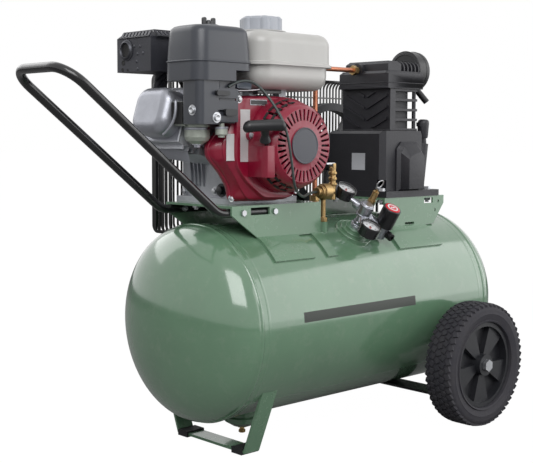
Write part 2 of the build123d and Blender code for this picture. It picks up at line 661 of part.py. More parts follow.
# ---------------------------------------------------------------- engine
def build_crankcase():
    base = -SHAFT_HEIGHT
    x, z = ENGINE_X, ENGINE_Z
    foot = block(shifted(FLANGE_X, x), CASE_Y, (z + base, z + base + FLANGE_THICKNESS))
    case = block(shifted(CASE_X, x), CASE_Y, (z + base, z + CASE_TOP))
    case = fillet(case.edges().filter_by(Axis.Y).group_by(Axis.Z)[-1], 14)
    barrel_y = (CYLINDER_Y - BARREL_HALF, CYLINDER_Y + BARREL_HALF)
    barrel = tilted_block((45, DECK), (-BARREL_HALF, BARREL_HALF), barrel_y)
    fin_y = (barrel_y[0] - FIN_REACH, barrel_y[1] + FIN_REACH)
    fin_half = BARREL_HALF + FIN_REACH
    case = foot + case + barrel
    for index in range(FIN_COUNT):
        start = DECK - FIN_THICKNESS - index * FIN_PITCH
        case += tilted_block((start, start + FIN_THICKNESS), (-fin_half, fin_half), fin_y)
    front, bottom = fin_y[0], -fin_half
    case += tilted_block((62, DECK), (bottom, bottom + 62), (front - 2, front + 1))
    case += tilted_block((62, DECK), (bottom - 2, bottom + 1), (front - 2, fin_y[1] - 20))
    for post_x in (FUEL_TANK_X[0] + 40, FUEL_TANK_X[1] - 80):
        for post_y in (CASE_Y[0] + 14, CASE_Y[1] - 24):
            case += block((x + post_x - 9, x + post_x + 9), (post_y - 9, post_y + 9),
                          (z + CASE_TOP - 2, z + FUEL_TANK_Z[0]))
    wall = CASE_WALL
    case -= block((x + CASE_X[0] + wall, x + CASE_X[1] - wall), (CASE_Y[0] + wall, CASE_Y[1] - wall),
                  (z + base + FLANGE_THICKNESS + wall, z + CASE_TOP - wall))
    near, far = along_cylinder(20), along_cylinder(DECK + 1)
    case -= rod(BORE_RADIUS, (near[0], CYLINDER_Y, near[1]), (far[0], CYLINDER_Y, far[1]))
    case -= rod(CRANK_RADIUS + RUN_GAP, (x, CASE_Y[0] - 1, z), (x, CASE_Y[1] + 1, z))
    for bolt_x, bolt_y in engine_bolt_places():
        case -= rod(BOLT_SHANK + BOLT_GAP, (bolt_x, bolt_y, z + base - 1),
                    (bolt_x, bolt_y, z + base + FLANGE_THICKNESS + 1))
        case -= rod(BOLT_SHANK * 2.3, (bolt_x, bolt_y, z + base + FLANGE_THICKNESS),
                    (bolt_x, bolt_y, z + base + FLANGE_THICKNESS + 22))
    save("crankcase", case)


def build_head():
    y = (CYLINDER_Y - BARREL_HALF - 6, CYLINDER_Y + BARREL_HALF + 6)
    half = BARREL_HALF + 4
    end = DECK + HEAD_THICKNESS
    head = tilted_block((DECK, end), (-half, half), y)
    for index in range(3):
        start = DECK + 6 + index * 12
        head += tilted_block((start, start + FIN_THICKNESS), (-half - 8, half + 8), y)
    near, far = along_cylinder(DECK - 1), along_cylinder(DECK + 8)
    head -= rod(BORE_RADIUS - 6, (near[0], CYLINDER_Y, near[1]), (far[0], CYLINDER_Y, far[1]))
    save("cylinder_head", head)

    cover = tilted_block((end, end + COVER_THICKNESS), (-half + 6, half - 6), (y[0] + 2, y[1] - 2))
    along = Axis(origin=(0, 0, 0), direction=(ALONG[0], 0, ALONG[1]))
    cover = fillet(cover.edges().filter_by(along), 28)
    cover = fillet(cover.edges().sort_by(along)[-8:], 18)
    hollow = tilted_block((end - 1, end + COVER_THICKNESS - 20), (-half + 22, half - 22),
                          (y[0] + 20, y[1] - 20))
    cover += tilted_block((end, end + 6), (-half + 2, half - 2), (y[0], y[1]))
    save("rocker_cover", cover - hollow)


def build_engine_crank():
    x, z = ENGINE_X, ENGINE_Z
    gap = PIN_LENGTH / 2
    front_web, rear_web = CYLINDER_Y - gap, CYLINDER_Y + gap
    crank = rod(CRANK_RADIUS, (x, SHROUD_FRONT_Y + 4, z), (x, front_web, z))
    crank += rod(WEB_RADIUS, (x, front_web - WEB_THICKNESS, z), (x, front_web, z))
    rear = rod(WEB_RADIUS, (x, rear_web, z), (x, rear_web + WEB_THICKNESS, z))
    rear += rod(CRANK_RADIUS, (x, rear_web, z), (x, CASE_Y[1] + 2, z))
    rear += rod(OUTPUT_RADIUS, (x, CASE_Y[1], z), (x, OUTPUT_END_Y, z))
    save("engine_crankshaft", crank, rear)

    hub_bore = CRANK_RADIUS + RUN_GAP
    disc_y = (CASE_Y[0] - 22, CASE_Y[0] - 10)
    fan = turned_y(x, z, (hub_bore, disc_y[0] - 10), (26, disc_y[0] - 10), (26, disc_y[0]),
                   (FAN_RADIUS, disc_y[0]),
                   (FAN_RADIUS, disc_y[1]), (hub_bore, disc_y[1]))
    for index in range(FAN_VANES):
        vane = block((44, FAN_RADIUS - 1), (disc_y[0] - 13, disc_y[0] + 1), (-1.5, 1.5))
        fan += Pos(x, 0, z) * Rot(0, 360 / FAN_VANES * index, 0) * vane
    save("flywheel_fan", fan)

    pin_at, wrist_at = -ENGINE_STROKE / 2, ENGINE_ROD - ENGINE_STROKE / 2
    half_rod = 7.0
    big, small = along_cylinder(pin_at), along_cylinder(wrist_at)
    reach = gap - MOVE_GAP
    rod_y = (CYLINDER_Y - half_rod, CYLINDER_Y + half_rod)
    piston = rod(PIN_RADIUS, (big[0], CYLINDER_Y - reach, big[1]), (big[0], CYLINDER_Y + reach, big[1]))
    piston += rod(PIN_RADIUS + 7, (big[0], rod_y[0], big[1]), (big[0], rod_y[1], big[1]))
    shank = tilted_block((pin_at, wrist_at), (-7, 7), rod_y)
    bottom, crown = along_cylinder(wrist_at - 20), along_cylinder(wrist_at + 20)
    skirt = rod(BORE_RADIUS - RUN_GAP, (bottom[0], CYLINDER_Y, bottom[1]),
                (crown[0], CYLINDER_Y, crown[1]))
    hollow_end = along_cylinder(wrist_at + 12)
    skirt -= rod(BORE_RADIUS - 6, (bottom[0], CYLINDER_Y, bottom[1]),
                 (hollow_end[0], CYLINDER_Y, hollow_end[1]))
    wrist = rod(8, (small[0], CYLINDER_Y - BORE_RADIUS + 3, small[1]),
                (small[0], CYLINDER_Y + BORE_RADIUS - 3, small[1]))
    save("engine_piston", piston + shank + skirt + wrist)


def shroud_outline(points, y, inset):
    """A closed outline of the fan cover at one depth, given beside the crankshaft, as a face."""
    face = polygon(*points)
    if inset:
        face = offset(face, -inset, kind=Kind.INTERSECTION)
    return Pos(ENGINE_X, y, ENGINE_Z) * (Plane.XZ * face)


def shroud_body(inset, front, back):
    """The fan cover's volume: a raised face, a flank falling back to the cylinder, the fan housing."""
    face_x, plate_z = -110.0, ELBOW_BOTTOM_Z + 2
    raised = [(20, 84), (-98, 82), (face_x, 70), (face_x, plate_z), (face_x, 10), (face_x, -20),
              (-108, -36),
              (-88, -62), (-46, -92), (20, -94)]
    flank = [(20, 86), (-99, 83), (face_x - 1, 70), (face_x - 1, plate_z), (-147, 0), (-145, -20),
             (-116, -48),
             (-98, -74), (-96, -96), (20, -98)]
    step = SHROUD_FLANK_Y
    body = loft([shroud_outline(raised, front, inset), shroud_outline(flank, step, inset)], ruled=True)
    outer = shroud_outline(flank, step, inset)
    body += extrude(outer, back - step, dir=(0, 1, 0))
    radius = SHROUD_RADIUS - inset
    x, z = ENGINE_X, ENGINE_Z
    return body + rod(radius, (x, front, z), (x, back, z))


def build_shroud():
    back = CASE_Y[0]
    shroud = shroud_body(0, SHROUD_FRONT_Y, back) - shroud_body(SHROUD_WALL, SHROUD_FRONT_Y + SHROUD_WALL,
                                                                back + 1)
    x, z = ENGINE_X, ENGINE_Z
    shroud -= rod(STARTER_RADIUS - 10, (x, SHROUD_FRONT_Y - 1, z), (x, SHROUD_FRONT_Y + 5, z))
    save("fan_cover", shroud)


def build_starter():
    x, z = ENGINE_X, ENGINE_Z
    wall = SHROUD_WALL
    rear, front = SHROUD_FRONT_Y, STARTER_FRONT_Y
    rim, face = STARTER_RADIUS, STARTER_FACE_RADIUS
    post_radius = 8.0
    cup = turned_y(x, z, (rim, rear), (rim, rear - 12), (face + 3, front + 7), (face - 4, front),
                   (BADGE_RADIUS, front),
                   (BADGE_RADIUS, front - 2), (0, front - 2), (0, rear - 14), (post_radius, rear - 14),
                   (post_radius, front + wall), (face - 6, front + wall), (face, front + 8),
                   (rim - wall, rear - 11), (rim - wall, rear))
    slots = []
    for index in range(STARTER_SLOTS):
        slot = block((44, face - 5), (front - 3, front + wall + 2), (-2, 2))
        slots.append(Pos(x, 0, z) * Rot(0, 360 / STARTER_SLOTS * index, 0) * slot)
    for start, count in ((102, 6), (212, 5), (20, 4)):
        for index in range(count):
            angle = math.radians(start + 11 * index)
            reach = rim - 4
            cut = Box(24, 20, 5.5)
            slots.append(Pos(x + reach * math.cos(angle), rear - 30, z + reach * math.sin(angle))
                         * Rot(0, -math.degrees(angle), 0) * cut)
    cup -= slots
    guide = block(shifted(GUIDE_X, x), (GUIDE_FRONT_Y, rear), (z - 54, z))
    guide = fillet(guide.edges().filter_by(Axis.Z), 5)
    inside = turned_y(x, z, (0, rear + 1), (rim - wall, rear + 1), (rim - wall, rear - 11),
                      (face, front + 8),
                      (face - 6, front + wall), (0, front + wall))
    rope_at = Vector(x + sum(GUIDE_X) / 2, GUIDE_FRONT_Y + 13, z)
    lean = Vector(*GRIP_LEAN)
    pull = lean.normalized()
    cup += guide - inside
    cup -= rod(ROPE_RADIUS + 1, rope_at - pull * 40, rope_at + pull * 4)
    save("recoil_housing", cup)

    reel_y = (rear - 14 - REEL_WIDTH - 6, rear - 14 - 6)
    groove = REEL_RADIUS - 12
    flange = 3.0
    reel = turned_y(x, z, (post_radius + RUN_GAP, reel_y[0]), (REEL_RADIUS, reel_y[0]),
                    (REEL_RADIUS, reel_y[0] + flange),
                    (groove, reel_y[0] + flange), (groove, reel_y[1] - flange), (REEL_RADIUS,
                                                                                 reel_y[1] - flange),
                    (REEL_RADIUS, reel_y[1]), (post_radius + RUN_GAP, reel_y[1]))
    save("recoil_reel", reel)

    seat = rope_at + pull * (MOVE_GAP + 10.5)
    grip_at = rope_at + lean
    save("recoil_rope", rod(ROPE_RADIUS, rope_at - pull * 24, seat + pull * 10))
    half_grip = Vector(GRIP_LENGTH / 2 - GRIP_RADIUS, 0, 1.5).rotate(Axis.Z, -GRIP_TURN)
    low_end, high_end = grip_at - half_grip, grip_at + half_grip
    grip = rod(GRIP_RADIUS, low_end, high_end)
    grip += Pos(*low_end) * Sphere(GRIP_RADIUS) + Pos(*high_end) * Sphere(GRIP_RADIUS)
    grip += rod(10, seat, seat + pull * 12, 6.5) + rod(6.5, seat + pull * 12, grip_at, 10)
    grip -= rod(ROPE_RADIUS, seat - pull, seat + pull * 10)
    save("recoil_handle", grip)


def build_fuel_tank():
    x, z = ENGINE_X, ENGINE_Z
    low, high = FUEL_TANK_Z
    seam = z + low + (high - low) * 0.43
    upper = block(shifted(FUEL_TANK_X, x), FUEL_TANK_Y, (seam, z + high))
    upper = fillet(upper.edges().filter_by(Axis.Z), 34)
    upper = fillet(upper.edges().group_by(Axis.Z)[-1], 22)
    lower = block(shifted((FUEL_TANK_X[0] + 4, FUEL_TANK_X[1] - 4), x),
                  (FUEL_TANK_Y[0] + 4, FUEL_TANK_Y[1] - 4), (z + low, seam))
    lower = fillet(lower.edges().filter_by(Axis.Z), 32)
    lower = fillet(lower.edges().group_by(Axis.Z)[0], 26)
    lip = block(shifted((FUEL_TANK_X[0] - 4, FUEL_TANK_X[1] + 4), x),
                (FUEL_TANK_Y[0] - 4, FUEL_TANK_Y[1] + 4), (seam - 2, seam + 2))
    lip = fillet(lip.edges().filter_by(Axis.Z), 36)
    wall = FUEL_WALL
    inner = block(shifted((FUEL_TANK_X[0] + 10 + wall, FUEL_TANK_X[1] - 10 - wall), x),
                  (FUEL_TANK_Y[0] + 10 + wall, FUEL_TANK_Y[1] - 10 - wall), (z + low + wall * 2,
                                                                             z + high - wall * 2))
    inner = fillet(inner.edges().filter_by(Axis.Z), 26)
    inner = fillet(inner.edges().group_by(Axis.Z)[0], 20)
    cap_x, cap_y = x + FUEL_CAP_AT[0], FUEL_CAP_AT[1]
    neck_top = z + high + 5
    neck = rod(FUEL_NECK_RADIUS, (cap_x, cap_y, z + high - wall), (cap_x, cap_y, neck_top))
    tank = upper + lower + lip + neck - inner
    tank -= rod(FUEL_NECK_RADIUS - 9, (cap_x, cap_y, z + high - wall * 3), (cap_x, cap_y, neck_top + 1))
    save("fuel_tank", tank)

    cap_low, bevel = neck_top + MOVE_GAP, 4.0
    edge, top = cap_low + FUEL_CAP_HEIGHT - bevel, cap_low + FUEL_CAP_HEIGHT
    body_radius, lobe_radius = FUEL_CAP_RADIUS - 4, 10.0
    cap = turned_z(cap_x, cap_y, (0, cap_low), (body_radius, cap_low), (body_radius, edge),
                   (body_radius - bevel, top), (0, top))
    for index in range(6):
        reach = FUEL_CAP_RADIUS - lobe_radius
        lobe_x = cap_x + reach * math.cos(math.radians(60 * index))
        lobe_y = cap_y + reach * math.sin(math.radians(60 * index))
        cap += turned_z(lobe_x, lobe_y, (0, cap_low), (lobe_radius, cap_low), (lobe_radius, edge),
                        (lobe_radius - bevel, top), (0, top))
    save("fuel_cap", cap)


def build_air_cleaner():
    x, z = ENGINE_X, ENGINE_Z
    across_x, across_y = shifted(CLEANER_X, x), CLEANER_Y
    seam, top = z + CLEANER_SEAM_Z, z + CLEANER_TOP_Z
    cover = block(across_x, across_y, (seam, top))
    cover = fillet(cover.edges().filter_by(Axis.Z), 24)
    cover = fillet(cover.edges().group_by(Axis.Z)[-1], 10)
    nut_x, nut_y = sum(across_x) / 2, sum(across_y) / 2
    cover += rod(22, (nut_x, nut_y, top - 2), (nut_x, nut_y, top + NUT_SEAT), 15)
    hollow = block((across_x[0] + 4, across_x[1] - 4), (across_y[0] + 4, across_y[1] - 4),
                   (seam - 1, top - 4))
    hollow = fillet(hollow.edges().filter_by(Axis.Z), 20)
    stud_radius = 3.0
    cover -= hollow
    cover -= rod(stud_radius + BOLT_GAP, (nut_x, nut_y, seam), (nut_x, nut_y, top + NUT_SEAT + 1))
    save("air_cleaner_cover", cover)

    base = block(across_x, across_y, (z + CLEANER_BASE_Z + 18, seam))
    base = fillet(base.edges().filter_by(Axis.Z), 24)
    lower = block((across_x[0], across_x[1] - 44), across_y,
                  (z + CLEANER_BASE_Z, z + CLEANER_BASE_Z + 20))
    lower = fillet(lower.edges().filter_by(Axis.Z).group_by(Axis.X)[0], 24)
    elbow = block(shifted(ELBOW_X, x), ELBOW_Y, (z + ELBOW_BOTTOM_Z, z + CLEANER_BASE_Z + 10))
    elbow = fillet(elbow.edges().filter_by(Axis.Z), 12)
    body = base + lower + elbow
    for level in (4, 24, 44):
        body += block((x + ELBOW_X[1] - 14, x + VALVE_PLATE_X), (ELBOW_Y[0], ELBOW_Y[0] + 16),
                      (z + ELBOW_BOTTOM_Z + level, z + ELBOW_BOTTOM_Z + level + 16))
    body += block((x + ELBOW_X[1] - 14, x + VALVE_PLATE_X - 3), (ELBOW_Y[0] + 4, ELBOW_Y[0] + 16),
                  (z + ELBOW_BOTTOM_Z + 2, z + CLEANER_BASE_Z + 1))
    duct = (ELBOW_X[0] + 8, ELBOW_X[1] - 8), (ELBOW_Y[0] + 8, ELBOW_Y[1] - 8)
    body -= block(shifted(duct[0], x), duct[1], (z + ELBOW_BOTTOM_Z + 8, seam + 1))
    body -= block((across_x[0] + 8, across_x[1] - 8), (across_y[0] + 8, across_y[1] - 8),
                  (seam - 10, seam + 1))
    body += rod(stud_radius, (nut_x, nut_y, seam - 12), (nut_x, nut_y, top + NUT_SEAT + 11))
    duct_z = z + ELBOW_BOTTOM_Z + 22
    duct_x = x + sum(ELBOW_X) / 2
    body -= rod(11, (duct_x, ELBOW_Y[1] - 12, duct_z), (duct_x, ELBOW_Y[1] + 1, duct_z))
    save("air_cleaner_base", body)

    bore = stud_radius + RUN_GAP
    nut_low = top + NUT_SEAT + MOVE_GAP
    nut = turned_z(nut_x, nut_y, (bore, nut_low), (8, nut_low), (6.5, nut_low + 9), (bore, nut_low + 9))
    for side in (-1, 1):
        wing = block((6, WING_NUT_HALF), (-2, 2), (nut_low + 2, nut_low + 15))
        wing = fillet(wing.edges().filter_by(Axis.Y), 3)
        nut += Pos(nut_x, nut_y, 0) * Rot(0, 0, 0 if side > 0 else 180) * wing
    save("wing_nut", nut)


def build_carburettor():
    x, z = ENGINE_X, ENGINE_Z
    duct_x = x + sum(ELBOW_X) / 2
    duct_z = z + ELBOW_BOTTOM_Z + 22
    head_face = CYLINDER_Y - BARREL_HALF - 6
    body = block((duct_x - 20, duct_x + 20), (ELBOW_Y[1], head_face), (duct_z - 18, duct_z + 16))
    body -= rod(11, (duct_x, ELBOW_Y[1] - 1, duct_z), (duct_x, head_face + 1, duct_z))
    bowl_y = (ELBOW_Y[1] + head_face) / 2 - 14
    low = z + ELBOW_BOTTOM_Z
    bowl = turned_z(duct_x + 11, bowl_y, (0, low - 34), (9, low - 34), (BOWL_RADIUS - 3, low - 28),
                    (BOWL_RADIUS, low - 22),
                    (BOWL_RADIUS, low - 0.1), (0, low - 0.1))
    body += block((duct_x - 16, duct_x + 16), (ELBOW_Y[1], head_face), (low - 3, duct_z - 10))
    cup_x, cup_y = x + ELBOW_X[1] + 6, ELBOW_Y[0] + 10
    cup = turned_z(cup_x, cup_y, (0, low - 22), (6, low - 22), (6, low - 19), (11, low - 17),
                   (11, low - 4),
                   (5, low - 4), (5, low + 2), (0, low + 2))
    save("carburettor", body + bowl, cup)


def build_muffler():
    x, z = ENGINE_X, ENGINE_Z
    box = block(shifted(MUFFLER_X, x), MUFFLER_Y, shifted(MUFFLER_Z, z))
    top_edges = box.edges().group_by(Axis.Z)[-1]
    box = chamfer(top_edges, 9)
    wall = 2.0
    box -= block((x + MUFFLER_X[0] + wall, x + MUFFLER_X[1] - wall),
                 (MUFFLER_Y[0] + wall, MUFFLER_Y[1] - wall),
                 (z + MUFFLER_Z[0] + wall, z + MUFFLER_Z[1] - 12))
    outlet_z, outlet_y = z + MUFFLER_Z[0] + 44, MUFFLER_Y[1] - 26
    box -= rod(11, (x + MUFFLER_X[0] - 1, outlet_y, outlet_z), (x + MUFFLER_X[0] + 4, outlet_y, outlet_z))
    head_face = CYLINDER_Y + BARREL_HALF + 6
    port_x, port_z = along_cylinder(DECK + HEAD_THICKNESS / 2)
    pipe_y = head_face + 18
    pipe = rod(13, (port_x, head_face, port_z), (port_x, pipe_y, port_z))
    pipe += Pos(port_x, pipe_y, port_z) * Sphere(13)
    pipe += rod(13, (port_x, pipe_y, port_z), (port_x, pipe_y, z + MUFFLER_Z[0] + 1))
    pipe += block((port_x - 15, port_x + 15), (head_face, head_face + 5), (port_z - 16, port_z + 16))
    save("muffler", box + pipe)


def build_ignition():
    """Spark plug in the head's top, with its cap and a lead that loops back towards the coil."""
    y = CYLINDER_Y - 12
    fin_top = BARREL_HALF + 4 + 8
    foot, top = along_cylinder(DECK + 20, fin_top), along_cylinder(DECK + 20, fin_top + 32)
    plug = rod(9, (foot[0], y, foot[1]), (top[0], y, top[1]))
    out = (top[0] - 16, y, top[1] + 2)
    cap_x, cap_z = along_cylinder(DECK + 20, fin_top + 24)
    route = [(cap_x, y, cap_z), out, (out[0] - 16, y - 2, out[2] - 16), (out[0] - 8, y - 4, out[2] - 28)]
    path = FilletPolyline(*route, radius=8)
    start = Plane(origin=path @ 0, z_dir=path % 0)
    save("ignition_lead", plug + sweep(start * Circle(3.5), path))


def build_levers():
    """The choke and fuel levers on the plate beside the air cleaner's elbow."""
    z = ENGINE_Z + ELBOW_BOTTOM_Z
    face = ELBOW_Y[0] - MOVE_GAP
    pivot_x = ENGINE_X + ELBOW_X[1]
    for name, level, reach, height in (("choke_lever", 52.0, -24.0, 8.0),
                                       ("fuel_lever", 20.0, 22.0, 11.0)):
        span = sorted((pivot_x + 6 - math.copysign(5, reach), pivot_x + 6 + reach))
        lever = block(span, (face - 7, face), (z + level - height / 2, z + level + height / 2))
        save(name, fillet(lever.edges().filter_by(Axis.Y), 3.5))


def build_throttle_cable():
    """The cable from the carburettor's control plate, in front of the starter, to the pilot valve."""
    pilot_x, pilot_y, pilot_z = PILOT_AT
    reach = PILOT_REACH
    route = CABLE_ROUTE + [(pilot_x - reach - 18, pilot_y, pilot_z), (pilot_x - reach, pilot_y, pilot_z)]
    radii = []
    for before, at, after in zip(route, route[1:], route[2:]):
        first, second = Vector(*at) - Vector(*before), Vector(*after) - Vector(*at)
        turn = math.radians(first.get_angle(second))
        radii.append(0.42 * min(first.length, second.length) / math.tan(turn / 2))
    path = FilletPolyline(*route, radius=[min(radius, 400) for radius in radii])
    start = Plane(origin=path @ 0, z_dir=path % 0)
    save("throttle_cable", sweep(start * Circle(CABLE_RADIUS), path))
    print("throttle cable", round(path.length, 1), [round(radius) for radius in radii])


# ---------------------------------------------------------------- pump
def build_pump():
    x, z = PUMP_X, PUMP_Z
    base = -PUMP_SHAFT_HEIGHT
    flange_top = z + base + PUMP_FLANGE_THICKNESS
    left, right = shifted(PUMP_CASE_X, x)
    top = z + PUMP_CASE_TOP
    outline = polygon((left, z + base), (left, top - 6), (left + 6, top), (right - 14, top),
                      (right, top - 30),
                      (right, z + base))
    case = slab(outline, *PUMP_CASE_Y)
    case = chamfer(case.edges().filter_by(Axis.Z).group_by(Axis.Y)[0], 10)
    case += block(shifted(PUMP_FLANGE_X, x), PUMP_FLANGE_Y, (z + base, flange_top))
    bump = polygon((x - 26, flange_top - 2), (x - 26, top - 36), (x - 12, top - 22), (x + 36, top - 22),
                   (x + 44, top - 38), (x + 44, flange_top - 2))
    bump = slab(bump, PUMP_CASE_Y[0] - 10, PUMP_CASE_Y[0] + 1)
    case += chamfer(bump.edges().group_by(Axis.Y)[0], 7)
    wall = PUMP_WALL
    case -= block((x + PUMP_CASE_X[0] + wall, x + PUMP_CASE_X[1] - wall),
                  (PUMP_CASE_Y[0] + wall, PUMP_CASE_Y[1] - wall),
                  (z + base + wall * 2, z + PUMP_CASE_TOP - wall))
    for bore_y in PUMP_BORES_Y:
        case -= rod(PUMP_BORE_RADIUS + 1, (x, bore_y, z), (x, bore_y, z + PUMP_CASE_TOP + 1))
    case -= rod(PUMP_CRANK_RADIUS + RUN_GAP, (x, PUMP_CASE_Y[0] + 3, z), (x, PUMP_CASE_Y[1] + 1, z))
    breather_x = x + PUMP_CASE_X[1] + BREATHER_RADIUS - 2
    breather_y = PUMP_CASE_Y[0] + 14
    case += rod(BREATHER_RADIUS + 3, (breather_x - 9, breather_y, flange_top - 1),
                (breather_x + 4, breather_y, z + 34))
    case += rod(BREATHER_RADIUS, (breather_x + 3, breather_y, z + 30),
                (breather_x - 1, breather_y, z + 84))
    case += rod(BREATHER_RADIUS + 2, (breather_x - 1, breather_y, z + 82),
                (breather_x - 1.5, breather_y, z + 90))
    for bolt_x, bolt_y in pump_bolt_places():
        case -= rod(BOLT_SHANK + BOLT_GAP, (bolt_x, bolt_y, z + base - 1),
                    (bolt_x, bolt_y, flange_top + 1))
        case -= rod(BOLT_SHANK * 2.3, (bolt_x, bolt_y, flange_top), (bolt_x, bolt_y, flange_top + 22))
    save("pump_crankcase", case)

    low, high = z + PUMP_CASE_TOP, z + PUMP_DECK
    half = PUMP_BLOCK_HALF
    block_y = PUMP_BLOCK_Y
    core = PUMP_BORE_RADIUS + 5
    cylinders = block((x - core, x + core), (PUMP_BORES_Y[0] - core, PUMP_BORES_Y[1] + core), (low, high))
    cylinders += block((x - half, x - core + 1), block_y, (low, high))
    cylinders += block((x - half, x + half), block_y, (low, low + 5))
    cylinders += block((x - half, x + half), block_y, (high - 5, high))
    step = (high - low - 5) / (PUMP_FINS + 1)
    for index in range(PUMP_FINS):
        fin_low = low + step * (index + 1)
        cylinders += block((x - half + 1, x + half), block_y, (fin_low, fin_low + 5))
    for corner_y in (block_y[0] + 5, block_y[1] - 5):
        cylinders += rod(4, (x + half - 5, corner_y, low), (x + half - 5, corner_y, high))
    middle_y, rib = sum(block_y) / 2, 5.0
    reach = (block_y[1] - block_y[0]) / 2 - 7
    for index in range(CHEVRON_RIBS):
        tip = low - 3 + index * CHEVRON_PITCH
        for side in (-1, 1):
            near, far = middle_y + side * 3, middle_y + side * reach
            face = polygon((near, tip), (far, tip + CHEVRON_FALL), (far, tip + CHEVRON_FALL + rib),
                           (near, tip + rib))
            bar = Pos(x - half - 3, 0, 0) * extrude(Plane.YZ * face, 4)
            cylinders += bar & block((x - half - 3, x), block_y, (low + 7, high - 7))
    for bore_y in PUMP_BORES_Y:
        cylinders -= rod(PUMP_BORE_RADIUS, (x, bore_y, low - 1), (x, bore_y, high + 1))
    save("pump_cylinders", cylinders)

    head_x, head_y = shifted(PUMP_HEAD_X, x), PUMP_HEAD_Y
    plate_top = high + VALVE_PLATE
    plate = block(head_x, head_y, (high, plate_top))
    head = block(head_x, head_y, (plate_top, plate_top + PUMP_HEAD_HEIGHT))
    head = chamfer(head.edges().group_by(Axis.Z)[-1], 5)
    rim = plate_top + PUMP_HEAD_HEIGHT
    chest_top = rim + PUMP_CHEST_HEIGHT
    margin = PUMP_CHEST_MARGIN
    chest_y = (head_y[0] + margin, head_y[1] - margin)
    chest = block((head_x[0] + margin, x - 4), chest_y, (rim - 1, chest_top))
    chest = chamfer(chest.edges().group_by(Axis.Z)[-1], 6)
    chest += rod(14, (head_x[0], TUBE_Y, tube_level()), (head_x[0] + margin + 8, TUBE_Y, tube_level()))
    head += chest + block((x - 5, head_x[1] - margin), (chest_y[0] + 20, chest_y[1] - 20),
                          (rim - 1, chest_top - 7))
    fin_x = x - 4 + HEAD_FIN_PITCH - HEAD_FIN_THICKNESS
    while fin_x + HEAD_FIN_THICKNESS < head_x[1] - 1:
        fin = block((fin_x, fin_x + HEAD_FIN_THICKNESS), chest_y, (rim - 1, chest_top))
        head += fillet(fin.edges().filter_by(Axis.X).group_by(Axis.Z)[-1], PUMP_CHEST_HEIGHT * 0.7)
        fin_x += HEAD_FIN_PITCH
    chamber = (plate_top - 1, plate_top + PUMP_HEAD_HEIGHT - 8)
    for chamber_x in ((head_x[0] + 8, x - 4), (x + 4, head_x[1] - 8)):
        head -= block(chamber_x, (head_y[0] + 8, head_y[1] - 8), chamber)
    save("pump_head", plate, head)

    filter_z = rim + FILTER_RISE
    near, far = head_x[1], head_x[1] + 4 + FILTER_WIDTH
    canister = rod(FILTER_RADIUS, (near + 4, FILTER_Y, filter_z), (far, FILTER_Y, filter_z))
    canister = fillet(canister.edges(), 4)
    canister += rod(14, (near, FILTER_Y, rim - 14.5), (near + 6, FILTER_Y, rim - 14.5))
    snout_x = (near + far) / 2 + 2
    start = (snout_x, FILTER_Y - 14, filter_z - FILTER_RADIUS + 8)
    canister += rod(6.5, start, (snout_x + 20, FILTER_Y - 30, filter_z - FILTER_RADIUS - 22))
    save("intake_filter", canister)


def pump_webs():
    """The Y ranges of the front, middle and rear crank webs, and of the two crank pins."""
    half_pin = 9.0
    front_pin = (PUMP_BORES_Y[0] - half_pin, PUMP_BORES_Y[0] + half_pin)
    rear_pin = (PUMP_BORES_Y[1] - half_pin, PUMP_BORES_Y[1] + half_pin)
    web = 10.0
    return ((front_pin[0] - web, front_pin[0]), (front_pin[1], rear_pin[0]),
            (rear_pin[1], rear_pin[1] + web),
            front_pin, rear_pin)


def build_pump_motion():
    x, z = PUMP_X, PUMP_Z
    front, middle, rear, front_pin, rear_pin = pump_webs()
    pieces = []
    for low, high in (front, middle, rear):
        pieces.append(rod(PUMP_WEB_RADIUS, (x, low, z), (x, high, z)))
    pieces[0] += rod(PUMP_CRANK_RADIUS, (x, PUMP_CASE_Y[0] + 4, z), (x, front[1], z))
    pieces[2] += rod(PUMP_CRANK_RADIUS, (x, rear[0], z), (x, BELT_Y + SHEAVE_WIDTH / 2 + 4, z))
    save("pump_crankshaft", *pieces)

    throw = PUMP_STROKE / 2
    wrist_z = z + math.sqrt(PUMP_ROD ** 2 - throw ** 2)
    for name, bore_y, pin, side in (("pump_piston_front", PUMP_BORES_Y[0], front_pin, 1),
                                    ("pump_piston_rear", PUMP_BORES_Y[1], rear_pin, -1)):
        pin_x = x + side * throw
        piston = rod(PUMP_PIN_RADIUS, (pin_x, pin[0] + MOVE_GAP, z), (pin_x, pin[1] - MOVE_GAP, z))
        rod_y = (bore_y - 6, bore_y + 6)
        piston += rod(PUMP_PIN_RADIUS + 5, (pin_x, rod_y[0], z), (pin_x, rod_y[1], z))
        piston += slab(polygon((pin_x - 5, z), (pin_x + 5, z), (x + 4, wrist_z), (x - 4, wrist_z)),
                       *rod_y)
        skirt_low, crown = wrist_z - PUMP_PISTON_HEIGHT * 0.6, wrist_z + PUMP_PISTON_HEIGHT * 0.4
        body = rod(PUMP_BORE_RADIUS - RUN_GAP, (x, bore_y, skirt_low), (x, bore_y, crown))
        body -= rod(PUMP_BORE_RADIUS - 5, (x, bore_y, skirt_low - 1), (x, bore_y, crown - 4))
        reach = PUMP_BORE_RADIUS - 3
        piston += body + rod(6, (x, bore_y - reach, wrist_z), (x, bore_y + reach, wrist_z))
        save(name, piston)


